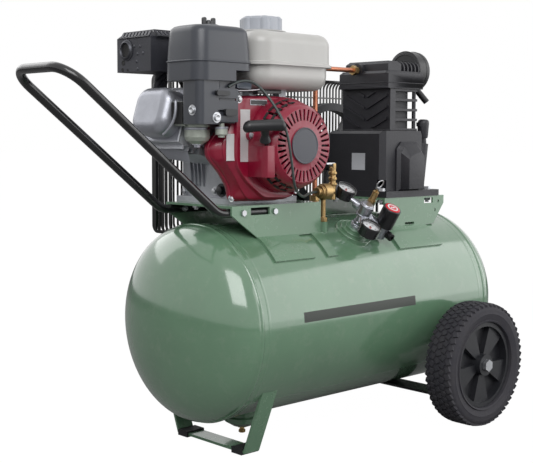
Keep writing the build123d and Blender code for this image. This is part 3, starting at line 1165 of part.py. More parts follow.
def build_belt_drive():
    half = SHEAVE_WIDTH / 2
    low, high = BELT_Y - half, BELT_Y + half
    groove_half = BELT_WIDTH / 2 + MOVE_GAP
    x, z = PUMP_X, PUMP_Z
    radius = PUMP_SHEAVE_RADIUS + 1.5

    def groove(at, outer, floor):
        return turned_y(*at, (floor, BELT_Y - groove_half), (outer, BELT_Y - groove_half),
                        (outer, BELT_Y + groove_half), (floor, BELT_Y + groove_half))

    inner = radius - SHEAVE_RIM
    wheel = turned_y(x, z, (inner, low), (radius, low), (radius, high), (inner, high))
    hub_low = PUMP_CASE_Y[1] + 30
    bore = PUMP_CRANK_RADIUS + RUN_GAP
    wheel += turned_y(x, z, (bore, hub_low), (25, hub_low), (25, high), (bore, high))
    for index in range(SHEAVE_SPOKES):
        spoke = slab(polygon((20, -9), (inner + 2, -14), (inner + 2, 14), (20, 9)), BELT_Y - 4,
                     BELT_Y + 5)
        wheel += Pos(x, 0, z) * Rot(0, 360 / SHEAVE_SPOKES * index + 18, 0) * spoke
    wheel -= groove((x, z), radius + 1, PUMP_SHEAVE_RADIUS - BELT_THICKNESS - MOVE_GAP)
    save("pump_flywheel", wheel)

    small = ENGINE_SHEAVE_RADIUS + 1.5
    pulley = turned_y(ENGINE_X, ENGINE_Z, (OUTPUT_RADIUS + RUN_GAP, low - 6), (16, low - 6), (16, low),
                      (small, low),
                      (small, high), (OUTPUT_RADIUS + RUN_GAP, high))
    pulley -= groove((ENGINE_X, ENGINE_Z), small + 1, ENGINE_SHEAVE_RADIUS - BELT_THICKNESS - MOVE_GAP)
    save("engine_pulley", pulley)

    centres = (ENGINE_X, ENGINE_Z), (x, z)
    outside = hull_of_circles(centres[0], ENGINE_SHEAVE_RADIUS, centres[1], PUMP_SHEAVE_RADIUS)
    inside = hull_of_circles(centres[0], ENGINE_SHEAVE_RADIUS - BELT_THICKNESS, centres[1],
                             PUMP_SHEAVE_RADIUS - BELT_THICKNESS)
    half_belt = BELT_WIDTH / 2
    belt = slab(outside, BELT_Y - half_belt, BELT_Y + half_belt)
    belt -= slab(inside, BELT_Y - half_belt - 1, BELT_Y + half_belt + 1)
    save("v_belt", belt)


def build_guard():
    """A cage of upright hoops over the belt, open towards the engine and the pump."""
    wire = GUARD_WIRE
    (x0, x1), (y0, y1), (z0, z1) = GUARD_X, GUARD_Y, GUARD_Z
    shell = block(GUARD_X, GUARD_Y, GUARD_Z)
    shell = fillet(shell.edges().filter_by(Axis.X).group_by(Axis.Y)[-1], 16)
    inner = block((x0 + wire, x1 - wire), (y0 - 1, y1 - wire), (z0 + wire, z1 - wire))
    inner = fillet(inner.edges().filter_by(Axis.X).group_by(Axis.Y)[-1], 14)
    shell -= inner
    count = int((x1 - x0 - 2 * wire) // GUARD_PITCH)
    pitch = (x1 - x0 - wire) / count
    slots = []
    for index in range(count):
        slot_low = x0 + wire + index * pitch
        slots.append(block((slot_low, slot_low + pitch - wire), (y0 + 2 * wire, y1 + 1),
                           (z0 - 1, z1 + 1)))
    for index in range(4):
        slot_low = y0 + 2 * wire + index * 11
        slots.append(block((x0 - 1, x1 + 1), (slot_low, slot_low + 8), (z0 + 2 * wire, z1 - 2 * wire)))
    cage = shell - slots
    for share in (0.12, 0.5, 0.88):
        rail = z0 + (z1 - z0) * share
        cage += block((x0 + wire / 2, x1 - wire / 2), (y1 - 2 * wire, y1 - wire / 2), (rail, rail + wire))
    skirt = PLATFORM_HALF_WIDTH
    tab_z = z0 + 12
    for tab_x in (ENGINE_PLATE_X[0] + 75, ENGINE_PLATE_X[1] - 20, PUMP_PLATE_X[0] + 40,
                  PUMP_PLATE_X[1] - 60):
        cage += block((tab_x - 8, tab_x + 8), (skirt, y0 + wire), (tab_z, tab_z + wire))
        cage += block((tab_x - 8, tab_x + 8), (y0, y0 + wire), (z0 + wire / 2, tab_z + wire))
    save("belt_guard", cage)


# ---------------------------------------------------------------- pipework
def tube_level():
    return PUMP_Z + PUMP_DECK + VALVE_PLATE + PUMP_HEAD_HEIGHT + TUBE_RISE


def build_discharge():
    head_face = PUMP_X + PUMP_HEAD_X[0]
    nut = 14.0
    level = tube_level()
    valve_low = tube_boss_top()
    valve_top = valve_low + CHECK_VALVE_HEIGHT
    route = [(head_face - nut, TUBE_Y, level), (TUBE_X, TUBE_Y, level), (TUBE_X, TUBE_Y, valve_top)]
    path = FilletPolyline(*route, radius=TUBE_BEND)
    start = Plane(origin=path @ 0, z_dir=path % 0)
    tube = sweep(start * Circle(TUBE_RADIUS), path) - sweep(start * Circle(TUBE_RADIUS - 1), path)
    save("discharge_tube", tube)

    across = TUBE_RADIUS * 3.6
    tube_nut = hex_bar(across, (head_face - nut, TUBE_Y, level), (head_face - 4, TUBE_Y, level))
    tube_nut += rod(7, (head_face - 5, TUBE_Y, level), (head_face, TUBE_Y, level))
    radius = CHECK_VALVE_RADIUS
    valve = hex_bar(radius * 2, (TUBE_X, TUBE_Y, valve_low), (TUBE_X, TUBE_Y, valve_low + 16))
    valve += rod(radius * 0.8, (TUBE_X, TUBE_Y, valve_low + 15), (TUBE_X, TUBE_Y, valve_top - 9))
    valve += hex_bar(across, (TUBE_X, TUBE_Y, valve_top - 10), (TUBE_X, TUBE_Y, valve_top))
    drain_low = drain_boss_low()
    neck_end = drain_low - DRAIN_NECK
    cock = rod(DRAIN_KNOB_RADIUS * 0.65, (DRAIN_X, 0, neck_end), (DRAIN_X, 0, drain_low))
    cock += hex_bar(DRAIN_KNOB_RADIUS * 2.4, (DRAIN_X, 0, drain_low - 4), (DRAIN_X, 0, drain_low))
    save("brass_fittings", tube_nut, valve, cock)

    knob_top = neck_end - MOVE_GAP
    knob = turned_z(DRAIN_X, 0, (0, knob_top - 6), (DRAIN_KNOB_RADIUS - 1, knob_top - 6),
                    (DRAIN_KNOB_RADIUS, knob_top - 5),
                    (DRAIN_KNOB_RADIUS, knob_top - 1), (DRAIN_KNOB_RADIUS - 1, knob_top), (0, knob_top))
    for index in range(8):
        angle = math.radians(45 * index)
        groove_x, groove_y = DRAIN_KNOB_RADIUS * math.cos(angle), DRAIN_KNOB_RADIUS * math.sin(angle)
        knob -= rod(0.9, (DRAIN_X + groove_x, groove_y, knob_top - 7),
                    (DRAIN_X + groove_x, groove_y, knob_top + 1))
    save("drain_knob", knob)


def build_pilot_valve():
    x, y, z = PILOT_AT
    radius = PILOT_RADIUS
    body = rod(radius, (x - 5, y, z), (x + 13, y, z))
    body += rod(radius * 0.8, (x - 11, y, z), (x - 4, y, z))
    body += rod(radius * 0.55, (x - PILOT_REACH, y, z), (x - 10, y, z))
    body += rod(4.5, (x, y, PILOT_BOSS_TOP), (x, y, z))
    body += hex_bar(14, (x, y, PILOT_BOSS_TOP), (x, y, PILOT_BOSS_TOP + 8))
    column_x = x + PILOT_COLUMN
    body += rod(7.5, (x + 8, y, z), (column_x, y, z))
    body += rod(6, (column_x, y, z - 16), (column_x, y, z + 44))
    for level in (11, 21.5, 32):
        body += rod(8, (column_x, y, z + level), (column_x, y, z + level + 5))
    top, half = z + 44, 3.5
    pivot_z, eye = top + 6, 4.0
    for side in (-1, 1):
        cheek = sorted((y + side * (half + MOVE_GAP), y + side * (half + MOVE_GAP + 1.5)))
        body += block((column_x - 4, column_x + 4), cheek, (top - 1, pivot_z + 3))
    save("pilot_valve", body)
    lever = rod(eye, (column_x, y - half, pivot_z), (column_x, y + half, pivot_z))
    lever += block((column_x - 20, column_x), (y - half, y + half), (pivot_z + 1, pivot_z + eye))
    save("pilot_lever", lever)


def build_regulator():
    plane = boss_plane()

    def place(shape):
        return plane * shape

    boss_top = BOSS_STEP * len(BOSS_RADII)
    middle = MANIFOLD_HEIGHT
    body = rod(9, (0, 0, boss_top), (0, 0, middle)) + hex_bar(24, (0, 0, boss_top), (0, 0, boss_top + 9))
    body += Pos(0, 0, middle) * fillet(Box(26, 28, 28).edges(), 5)
    tank_x, tank_y, tank_low = TANK_GAUGE_AT
    line_x, line_y, line_low = LINE_GAUGE_AT
    tank_stem_z, line_stem_z = tank_low + GAUGE_DEPTH * 0.35, line_low + GAUGE_DEPTH * 0.35
    body += hex_bar(15, (0, 0, middle), (tank_x * 0.5, tank_y - GAUGE_RADIUS - 6, tank_stem_z - 4))
    body += rod(5, (0, 0, middle), (tank_x, tank_y - GAUGE_RADIUS + 1, tank_stem_z))
    body += rod(8, (0, 0, middle - 6), (line_x, line_y + GAUGE_RADIUS - 1, line_stem_z))
    reg_x, reg_y = REGULATOR_AT
    reg_low, reg_high = REGULATOR_HEIGHT
    reg_mid = (reg_low + reg_high) / 2
    body += rod(10, (0, 0, middle - 8), (reg_x, reg_y, reg_mid + 2))
    body += rod(REGULATOR_RADIUS, (reg_x, reg_y, reg_low), (reg_x, reg_y, reg_high))
    outlet_x, outlet_y = reg_x + 5, reg_y - REGULATOR_RADIUS
    body += rod(8, (outlet_x, reg_y, OUTLET_LEVEL), (outlet_x, outlet_y, OUTLET_LEVEL))
    stem_top = reg_high + KNOB_HEIGHT * 0.5
    safety_x, safety_y = SAFETY_AT
    safety_seat = middle + 6
    body += rod(8, (0, 0, middle), (safety_x, safety_y, safety_seat - 4))
    body += rod(8, (safety_x, safety_y, safety_seat - 10), (safety_x, safety_y, safety_seat))
    for at in (TANK_GAUGE_AT, LINE_GAUGE_AT):
        body -= Pos(*at) * Cylinder(GAUGE_RADIUS, GAUGE_DEPTH, align=CENTRED_LOW)
    knob_room = KNOB_RADIUS + MOVE_GAP
    body -= rod(knob_room, (reg_x, reg_y, reg_high), (reg_x, reg_y, reg_high + KNOB_HEIGHT + 1))
    body += rod(4, (reg_x, reg_y, reg_high - 1), (reg_x, reg_y, stem_top))
    body -= rod(SAFETY_RADIUS * 1.2, (safety_x, safety_y, safety_seat),
                (safety_x, safety_y, safety_seat + 30))
    save("regulator_body", place(body))

    cases = []
    for at in (TANK_GAUGE_AT, LINE_GAUGE_AT):
        case = Pos(*at) * Cylinder(GAUGE_RADIUS, GAUGE_DEPTH, align=CENTRED_LOW)
        case = fillet(case.edges(), 2)
        case -= Pos(at[0], at[1], at[2] + GAUGE_DEPTH - 6) * Cylinder(GAUGE_RADIUS - 3, 7,
                                                                      align=CENTRED_LOW)
        case += Pos(at[0], at[1], at[2] + GAUGE_DEPTH - 7) * Cylinder(1, 4, align=CENTRED_LOW)
        cases.append(place(case))
    save("gauge_cases", *cases)
    for name, at in (("tank_needle", TANK_GAUGE_AT), ("line_needle", LINE_GAUGE_AT)):
        low = at[2] + GAUGE_DEPTH - 6 + MOVE_GAP * 2
        needle = Pos(0, 0, low) * Cylinder(2.4, 1, align=CENTRED_LOW)
        needle += block((-0.8, 0.8), (-13, 5), (low, low + 1))
        needle -= Pos(0, 0, low - 1) * Cylinder(1 + RUN_GAP, 4, align=CENTRED_LOW)
        save(name, place(Pos(at[0], at[1], 0) * Rot(0, 0, -45) * needle))

    knob_low = reg_high + MOVE_GAP
    knob = Pos(reg_x, reg_y, knob_low) * Cylinder(KNOB_RADIUS, KNOB_HEIGHT, align=CENTRED_LOW)
    knob = fillet(knob.edges().group_by(Axis.Z)[-1], 2)
    knob -= Pos(reg_x, reg_y, knob_low - 1) * Cylinder(4 + RUN_GAP, KNOB_HEIGHT * 0.5 + 2,
                                                       align=CENTRED_LOW)
    save("regulator_knob", place(knob))

    seat = safety_seat
    safety = hex_bar(SAFETY_RADIUS * 2, (safety_x, safety_y, seat), (safety_x, safety_y, seat + 10))
    safety += rod(SAFETY_RADIUS * 0.9, (safety_x, safety_y, seat + 9),
                  (safety_x, safety_y, seat + SAFETY_LENGTH - 6))
    stem_top_z = seat + SAFETY_LENGTH
    safety += rod(2, (safety_x, safety_y, seat + SAFETY_LENGTH - 7), (safety_x, safety_y, stem_top_z))
    save("safety_valve", place(safety))
    ring_low = stem_top_z + MOVE_GAP
    ring = rod(3.5, (safety_x, safety_y, ring_low), (safety_x, safety_y, ring_low + 3))
    ring += Pos(safety_x, safety_y, ring_low + 3 + 8) * Rot(90, 0, 30) * Torus(8, 1.2)
    save("safety_ring", place(ring))

    outlet_end = outlet_y - OUTLET_LENGTH
    outlet = hex_bar(15, (outlet_x, outlet_y, OUTLET_LEVEL), (outlet_x, outlet_y - 6, OUTLET_LEVEL))
    outlet += rod(6.5, (outlet_x, outlet_y - 5, OUTLET_LEVEL), (outlet_x, outlet_end, OUTLET_LEVEL))
    outlet += rod(7.5, (outlet_x, outlet_end + 5, OUTLET_LEVEL), (outlet_x, outlet_end + 1, OUTLET_LEVEL))
    outlet -= rod(4, (outlet_x, outlet_y - 2, OUTLET_LEVEL), (outlet_x, outlet_end - 1, OUTLET_LEVEL))
    save("outlet_coupler", place(outlet))


# ---------------------------------------------------------------- everything
def build_all():
    build_tank()
    build_bosses()
    build_platforms()
    build_foot()
    build_axle_bracket()
    build_wheel(-1, "right")
    build_wheel(1, "left")
    build_bolts()
    build_handle()
    build_crankcase()
    build_head()
    build_engine_crank()
    build_shroud()
    build_starter()
    build_fuel_tank()
    build_air_cleaner()
    build_carburettor()
    build_muffler()
    build_ignition()
    build_levers()
    build_throttle_cable()
    build_pump()
    build_pump_motion()
    build_belt_drive()
    build_guard()
    build_discharge()
    build_pilot_valve()
    build_regulator()


build_all()
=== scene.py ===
import logging
import math
from dataclasses import dataclass, field
from enum import Enum
from typing import Callable, Iterable, Sequence

import bpy
from mathutils import Matrix, Vector


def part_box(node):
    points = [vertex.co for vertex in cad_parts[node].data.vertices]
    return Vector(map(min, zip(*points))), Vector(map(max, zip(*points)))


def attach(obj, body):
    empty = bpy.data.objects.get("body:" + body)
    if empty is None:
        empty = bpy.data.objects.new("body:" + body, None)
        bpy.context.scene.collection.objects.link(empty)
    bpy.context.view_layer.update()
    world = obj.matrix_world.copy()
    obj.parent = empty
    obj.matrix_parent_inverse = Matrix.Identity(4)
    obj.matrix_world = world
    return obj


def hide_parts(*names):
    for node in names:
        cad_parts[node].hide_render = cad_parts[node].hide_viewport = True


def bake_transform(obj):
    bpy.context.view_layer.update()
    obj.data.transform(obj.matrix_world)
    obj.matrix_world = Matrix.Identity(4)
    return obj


# A portable air compressor: a petrol engine drives a two-cylinder pump above a lying tank.
# Metres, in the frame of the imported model: +X to the wheels, -Y the side with the gauges, +Z up.

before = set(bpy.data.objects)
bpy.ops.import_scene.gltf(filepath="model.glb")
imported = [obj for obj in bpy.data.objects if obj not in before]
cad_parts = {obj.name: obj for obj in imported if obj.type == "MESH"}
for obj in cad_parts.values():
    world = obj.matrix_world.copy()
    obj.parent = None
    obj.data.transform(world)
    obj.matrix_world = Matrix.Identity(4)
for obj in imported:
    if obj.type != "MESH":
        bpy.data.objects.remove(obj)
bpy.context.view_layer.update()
LOG = logging.getLogger("air_compressor")

Colour = tuple[float, float, float]
Point = Sequence[float]
Pairs = Sequence[tuple[float, float]]
MM = 0.001
SHIFT_X = 0.1175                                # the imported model's X of the middle of the tank
RIGHT, FRONT, UP = Vector((1, 0, 0)), Vector((0, -1, 0)), Vector((0, 0, 1))
CYLINDER_WAY = Vector((-0.9563, 0, 0.2924))     # from the crankshaft out through the cylinder head
BOSS_WAY = Vector((0, -0.5373, 0.843391))       # out of the tank through the regulator's boss
SLOPE_UP = BOSS_WAY.cross(RIGHT)                # up the tank's side at that boss


def spot(x: float, y: float, z: float) -> Vector:
    """A point given in millimetres from the middle of the tank, at ground level.

    Args:
        x: Distance along the tank.
        y: Distance across it.
        z: Height above the ground.

    Returns:
        The point in the frame, in metres.
    """
    return Vector((x * MM + SHIFT_X, y * MM, z * MM))


def here(x: float, y: float, z: float) -> Vector:
    """A point of the frame given in millimetres."""
    return Vector((x, y, z)) * MM


def box_of(node: str) -> tuple[Vector, Vector]:
    """The lowest and the highest corner of a node's box."""
    low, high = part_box(node)
    return Vector(low), Vector(high)


def shade(red: int, green: int, blue: int) -> Colour:
    """A colour written as it should look on a screen, turned to linear light.

    Args:
        red: Red from 0 to 255.
        green: Green from 0 to 255.
        blue: Blue from 0 to 255.

    Returns:
        The linear colour.
    """
    parts = [value / 255 for value in (red, green, blue)]
    return tuple(v / 12.92 if v <= 0.04045 else ((v + 0.055) / 1.055) ** 2.4 for v in parts)


# ------------------------------------------------------------------------------ shader tools
class Number:
    """A shader value. Used in a Python expression, it adds the Math nodes."""

    def __init__(self, tree: bpy.types.NodeTree, socket: bpy.types.NodeSocket) -> None:
        """Wrap a socket of a node tree."""
        self.tree = tree
        self.socket = socket

    def maths(self, operation: str, *terms: "Number | float", clamp: bool = False) -> "Number":
        """Add one Math node.

        Args:
            operation: The node's operation.
            terms: Its inputs in order, each a number or a wrapped socket.
            clamp: Whether the result is held between 0 and 1.

        Returns:
            The node's result.
        """
        node = self.tree.nodes.new("ShaderNodeMath")
        node.operation = operation
        node.use_clamp = clamp
        for slot, term in zip(node.inputs, terms):
            if isinstance(term, Number):
                self.tree.links.new(term.socket, slot)
            else:
                slot.default_value = term
        return Number(self.tree, node.outputs[0])

    def __add__(self, other: "Number | float") -> "Number":
        """self + other"""
        return self.maths("ADD", self, other)

    __radd__ = __add__

    def __sub__(self, other: "Number | float") -> "Number":
        """self - other"""
        return self.maths("SUBTRACT", self, other)

    def __rsub__(self, other: float) -> "Number":
        """other - self"""
        return self.maths("SUBTRACT", other, self)

    def __mul__(self, other: "Number | float") -> "Number":
        """self * other"""
        return self.maths("MULTIPLY", self, other)

    __rmul__ = __mul__

    def rise(self, low: float, high: float) -> "Number":
        """0 up to low, 1 from high on, and a straight climb between them."""
        return self.maths("MULTIPLY", self - low, 1 / (high - low), clamp=True)


class Surface:
    """One material: a node tree round a principled shader."""

    def __init__(self, name: str) -> None:
        """Make the material.

        Args:
            name: The material's name.
        """
        self.material = bpy.data.materials.new(name)
        self.material.use_nodes = True
        self.tree = self.material.node_tree
        self.shader = next(n for n in self.tree.nodes if n.type == "BSDF_PRINCIPLED")

    @classmethod
    def of(cls, material: bpy.types.Material) -> "Surface":
        """Go on with a material that is made already."""
        surface = cls.__new__(cls)
        surface.material, surface.tree = material, material.node_tree
        surface.shader = next(n for n in surface.tree.nodes if n.type == "BSDF_PRINCIPLED")
        return surface

    def node(self, kind: str, settings: dict | None = None, inputs: dict | None = None) -> bpy.types.Node:
        """Add a node.

        Args:
            kind: The node's type.
            settings: Its properties, set before its sockets. "stops" are a colour ramp's stops.
            inputs: The value or link of each socket, by the socket's name or number.

        Returns:
            The node.
        """
        node = self.tree.nodes.new(kind)
        for key, value in (settings or {}).items():
            if key == "stops":
                ramp = node.color_ramp.elements
                while len(ramp) < len(value):
                    ramp.new(0.5)
                for stop, (place, colour) in zip(ramp, value):
                    stop.position, stop.color = place, (*colour, 1)
            else:
                setattr(node, key, value)
        for key, value in (inputs or {}).items():
            self.feed(node.inputs[key], value)
        return node

    def feed(self, socket: bpy.types.NodeSocket, value: object) -> None:
        """Link a wrapped value or an output to a socket, or set the socket to a constant."""
        if isinstance(value, Number):
            self.tree.links.new(value.socket, socket)
        elif isinstance(value, bpy.types.NodeSocket):
            self.tree.links.new(value, socket)
        elif isinstance(value, tuple) and socket.type == "RGBA":
            socket.default_value = (*value, 1)
        else:
            socket.default_value = value

    def set(self, name: str, value: object) -> None:
        """Feed or set one socket of the principled shader."""
        self.feed(self.shader.inputs[name], value)

    def place(self, scale: Point = (1, 1, 1)) -> bpy.types.NodeSocket:
        """The object's coordinates, scaled along each axis."""
        start = self.node("ShaderNodeTexCoord").outputs["Object"]
        return self.node("ShaderNodeMapping", {}, {"Vector": start, "Scale": tuple(scale)}).outputs[0]

    def noise(self, scale: float, detail: float = 3.0, roughness: float = 0.55,
              vector: bpy.types.NodeSocket | None = None) -> Number:
        """Soft random values between 0 and 1 over the surface."""
        node = self.node("ShaderNodeTexNoise", {}, {"Scale": scale, "Detail": detail,
                                                    "Roughness": roughness, "Vector": vector or self.place()})
        return Number(self.tree, node.outputs[0])

    def grains(self, scale: float) -> Number:
        """Distance to the nearest of many random points, for pits and grain."""
        node = self.node("ShaderNodeTexVoronoi", {}, {"Scale": scale, "Vector": self.place()})
        return Number(self.tree, node.outputs[0])

    def axes(self) -> tuple[Number, Number, Number]:
        """X, Y and Z on the piece, in metres."""
        node = self.node("ShaderNodeSeparateXYZ", {}, {"Vector": self.place()})
        return tuple(Number(self.tree, out) for out in node.outputs)

    def blend(self, factor: "Number | float", first: object, second: object) -> bpy.types.NodeSocket:
        """Mix two colours.

        Args:
            factor: 0 for the first colour, 1 for the second.
            first: A colour or a colour socket.
            second: A colour or a colour socket.

        Returns:
            The mixed colour.
        """
        node = self.node("ShaderNodeMix", {"data_type": "RGBA"}, {0: factor, 6: first, 7: second})
        return node.outputs[2]

    def bump(self, height: Number, depth: float) -> None:
        """Raise and sink the surface by a value, depth in metres."""
        node = self.node("ShaderNodeBump", {}, {"Height": height, "Distance": depth, "Strength": 1.0})
        self.set("Normal", node.outputs[0])


def darker(colour: Colour, share: float) -> Colour:
    """The colour with its light scaled by share."""
    return tuple(part * share for part in colour)


# ------------------------------------------------------------------------------ finishes
@dataclass(frozen=True)
class Enamel:
    """Sprayed enamel on sheet or tube: a faint orange peel, soft tone changes and a little dust."""

    name: str
    colour: Colour
    roughness: float = 0.3
    coat: float = 0.5
    peel: float = 0.00006
    dust: float = 0.12

    def make(self) -> bpy.types.Material:
        """Build the material."""
        surface = Surface(self.name)
        cloud = surface.noise(7, 4)
        speck = surface.noise(420, 2)
        tone = surface.blend(cloud.rise(0.3, 0.75), darker(self.colour, 0.9), darker(self.colour, 1.07))
        dusty = surface.noise(38, 6, 0.7).rise(0.52, 0.8) * self.dust
        surface.set("Base Color", surface.blend(dusty, tone, shade(176, 174, 166)))
        surface.set("Roughness", self.roughness + dusty * 0.8 + (cloud - 0.5) * 0.12)
        surface.set("Coat Weight", self.coat)
        surface.set("Coat Roughness", 0.08)
        surface.bump(speck + surface.noise(90, 2) * 0.6, self.peel)
        return surface.material


@dataclass(frozen=True)
class Casting:
    """Sand or die cast metal, bare or painted: pits, grain and darker hollows."""

    name: str
    colour: Colour
    metallic: float = 0.85
    roughness: float = 0.5
    grain: float = 0.00022
    pitch: float = 330.0

    def make(self) -> bpy.types.Material:
        """Build the material."""
        surface = Surface(self.name)
        cloud = surface.noise(16, 5, 0.6)
        grain = surface.noise(self.pitch, 3, 0.65)
        pits = surface.grains(self.pitch * 0.6).rise(0.0, 0.35)
        tone = surface.blend(cloud.rise(0.3, 0.72), darker(self.colour, 0.8), darker(self.colour, 1.12))
        surface.set("Base Color", surface.blend((1 - pits) * 0.35, tone, darker(self.colour, 0.5)))
        surface.set("Metallic", self.metallic)
        surface.set("Roughness", self.roughness + (grain - 0.5) * 0.3)
        surface.bump(grain + pits * 0.5, self.grain)
        return surface.material


@dataclass(frozen=True)
class Moulding:
    """Moulded plastic with a fine grain and faint scuffs."""

    name: str
    colour: Colour
    roughness: float = 0.42
    grain: float = 0.00005
    scuffs: float = 0.1

    def make(self) -> bpy.types.Material:
        """Build the material."""
        surface = Surface(self.name)
        cloud = surface.noise(12, 3)
        pebble = surface.grains(1150)
        streak = surface.noise(60, 5, 0.7, surface.place((1, 1, 0.12))).rise(0.6, 0.78) * self.scuffs
        tone = surface.blend(cloud, darker(self.colour, 0.88), darker(self.colour, 1.1))
        pale = tuple(min(1.0, part * 1.5 + 0.03) for part in self.colour)
        surface.set("Base Color", surface.blend(streak, tone, pale))
        surface.set("Roughness", self.roughness + streak * 0.6 + (cloud - 0.5) * 0.1)
        surface.bump(pebble, self.grain)
        return surface.material


@dataclass(frozen=True)
class Rubber:
    """Matt rubber with pale dust on its open faces."""

    name: str
    colour: Colour
    dust: float = 0.16

    def make(self) -> bpy.types.Material:
        """Build the material."""
        surface = Surface(self.name)
        dusty = surface.noise(26, 6, 0.72).rise(0.45, 0.8) * self.dust
        fine = surface.noise(700, 2)
        surface.set("Base Color", surface.blend(dusty, self.colour, shade(128, 124, 116)))
        surface.set("Roughness", 0.72 + dusty * 0.9)
        surface.set("Specular IOR Level", 0.35)
        surface.bump(fine, 0.00008)
        return surface.material


class Lay(Enum):
    """Which way the fine lines of a machined or drawn metal run."""

    ALONG_Y = (1.0, 0.06, 1.0)
    ALONG_Z = (1.0, 1.0, 0.06)
    NONE = (1.0, 1.0, 1.0)


@dataclass(frozen=True)
class BareMetal:
    """Plated, drawn or machined metal with fine lines and faint stains."""

    name: str
    colour: Colour
    roughness: float = 0.28
    lay: Lay = Lay.NONE
    stain: Colour = (0.2, 0.17, 0.13)
    stains: float = 0.3

    def make(self) -> bpy.types.Material:
        """Build the material."""
        surface = Surface(self.name)
        lines = surface.noise(520, 2, 0.5, surface.place(self.lay.value))
        mark = surface.noise(48, 6, 0.68).rise(0.5, 0.82) * self.stains
        tone = surface.blend(lines, darker(self.colour, 0.86), darker(self.colour, 1.08))
        surface.set("Base Color", surface.blend(mark, tone, self.stain))
        surface.set("Metallic", 1 - mark * 0.6)
        surface.set("Roughness", self.roughness + lines * 0.16 + mark * 0.5)
        surface.bump(lines, 0.00003)
        return surface.material


@dataclass(frozen=True)
class Plate:
    """A bare label plate: pale satin foil with a little wear."""

    name: str
    colour: Colour
    roughness: float = 0.35

    def make(self) -> bpy.types.Material:
        """Build the material."""
        surface = Surface(self.name)
        wear = surface.noise(160, 5, 0.7).rise(0.5, 0.8) * 0.25
        surface.set("Base Color", surface.blend(wear, self.colour, darker(self.colour, 0.72)))
        surface.set("Roughness", self.roughness + wear)
        surface.set("Metallic", 0.15)
        surface.bump(surface.noise(600, 2), 0.00002)
        return surface.material


@dataclass(frozen=True)
class ClearGlass:
    """Thin clear glass with faint dust towards its rim."""

    name: str
    density: float = 0.07

    def make(self) -> bpy.types.Material:
        """Build the material."""
        surface = Surface(self.name)
        dusty = surface.noise(90, 4).rise(0.45, 0.9)
        surface.set("Base Color", surface.blend(dusty, (0.9, 0.92, 0.94), (0.7, 0.7, 0.68)))
        surface.set("Alpha", dusty * 0.12 + self.density)
        surface.set("Roughness", dusty * 0.25 + 0.03)
        return surface.material


@dataclass(frozen=True)
class StripedEnamel(Enamel):
    """The tank's enamel with one plain dark stripe along the side with the gauges."""

    ink: Colour = shade(44, 50, 44)
    start: float = -0.096
    end: float = 0.207
    low: float = 0.2405
    high: float = 0.2585
    edge: float = 0.0006

    def make(self) -> bpy.types.Material:
        """Build the material."""
        material = super().make()
        surface = Surface.of(material)
        x, y, z = surface.axes()
        inside = (x.rise(self.start, self.start + self.edge) * (1 - x.rise(self.end, self.end + self.edge))
                  * z.rise(self.low, self.low + self.edge) * (1 - z.rise(self.high, self.high + self.edge))
                  * (1 - y.rise(-0.02, -0.01)))
        worn = surface.noise(240, 5, 0.7).rise(0.72, 0.86)
        colour = surface.shader.inputs["Base Color"].links[0].from_socket
        ink = inside * (1 - worn)
        surface.set("Base Color", surface.blend(ink, colour, self.ink))
        surface.set("Coat Weight", (1 - ink) * self.coat)
        surface.set("Roughness", ink * 0.3 + self.roughness)
        return material


GREEN = shade(100, 134, 107)
RED = shade(136, 10, 45)

PAINT_TANK = Enamel("tank_green", GREEN, 0.16, 0.9).make()
PAINT_SHELL = StripedEnamel("tank_green_striped", GREEN, 0.16, 0.9).make()
PAINT_FRAME = Enamel("frame_green", GREEN, 0.26, 0.5).make()
PAINT_BLACK = Enamel("black_enamel", shade(20, 20, 22), 0.24, 0.3, dust=0.015).make()
PAINT_RED = Enamel("engine_red", RED, 0.3, 0.25, dust=0.02).make()
PAINT_CREAM = Enamel("fuel_tank_grey", shade(184, 183, 180), 0.36, 0.25, dust=0.04).make()
ALLOY = Casting("cast_alloy", shade(180, 182, 188), 0.35, 0.46).make()
ALLOY_SMOOTH = Casting("pressed_alloy", shade(158, 160, 168), 0.6, 0.36, 0.00003, 500).make()
IRON = Casting("black_cast_iron", shade(38, 38, 43), 0.15, 0.46, 0.0002, 260).make()
CHARCOAL = Moulding("charcoal_plastic", shade(58, 61, 68), 0.34).make()
BLACK_PLASTIC = Moulding("black_plastic", shade(26, 27, 30), 0.36).make()
RIM_PLASTIC = Moulding("rim_plastic", shade(33, 34, 38), 0.4).make()
KNOB_BLACK = Moulding("knob_black", shade(21, 20, 23), 0.34).make()
GAUGE_BLACK = Enamel("gauge_black", shade(18, 18, 21), 0.26, 0.4, dust=0.01).make()
MUFFLER_BLACK = Casting("muffler_black", shade(52, 53, 60), 0.2, 0.5, 0.0001, 420).make()
# Bare steel of the tail pipe, and a painted highlight on the muffler's dimples.
TAIL_STEEL_AND_HIGHLIGHT = BareMetal("tail_steel_and_painted_highlight", shade(82, 83, 88), 0.4, stain=shade(50, 46, 42)).make()
# Black for soot and for the dark in the exhaust's openings and vents; on the sheet over the carburettor's
# flange it is painted shade.
SOOT_AND_SHADE = Moulding("soot_and_painted_shade", shade(14, 14, 15), 0.7).make()
SWITCH_BLUE = Moulding("switch_blue_black", shade(52, 62, 76), 0.34).make()
CAP_GREY = Moulding("cap_grey", shade(172, 176, 184), 0.4).make()
TYRE = Rubber("tyre_rubber", shade(48, 47, 53), 0.1).make()
SOFT_RUBBER = Rubber("soft_rubber", shade(28, 28, 30), 0.05).make()
ZINC = BareMetal("zinc_plate", shade(196, 198, 202), 0.3).make()
STEEL = BareMetal("turned_steel", shade(178, 179, 182), 0.3, Lay.ALONG_Y).make()
BRASS = BareMetal("brass", shade(178, 150, 104), 0.32, stain=shade(78, 62, 38), stains=0.5).make()
COPPER = BareMetal("copper_tube", shade(196, 130, 102), 0.34, Lay.ALONG_Z, stain=shade(120, 72, 52)).make()
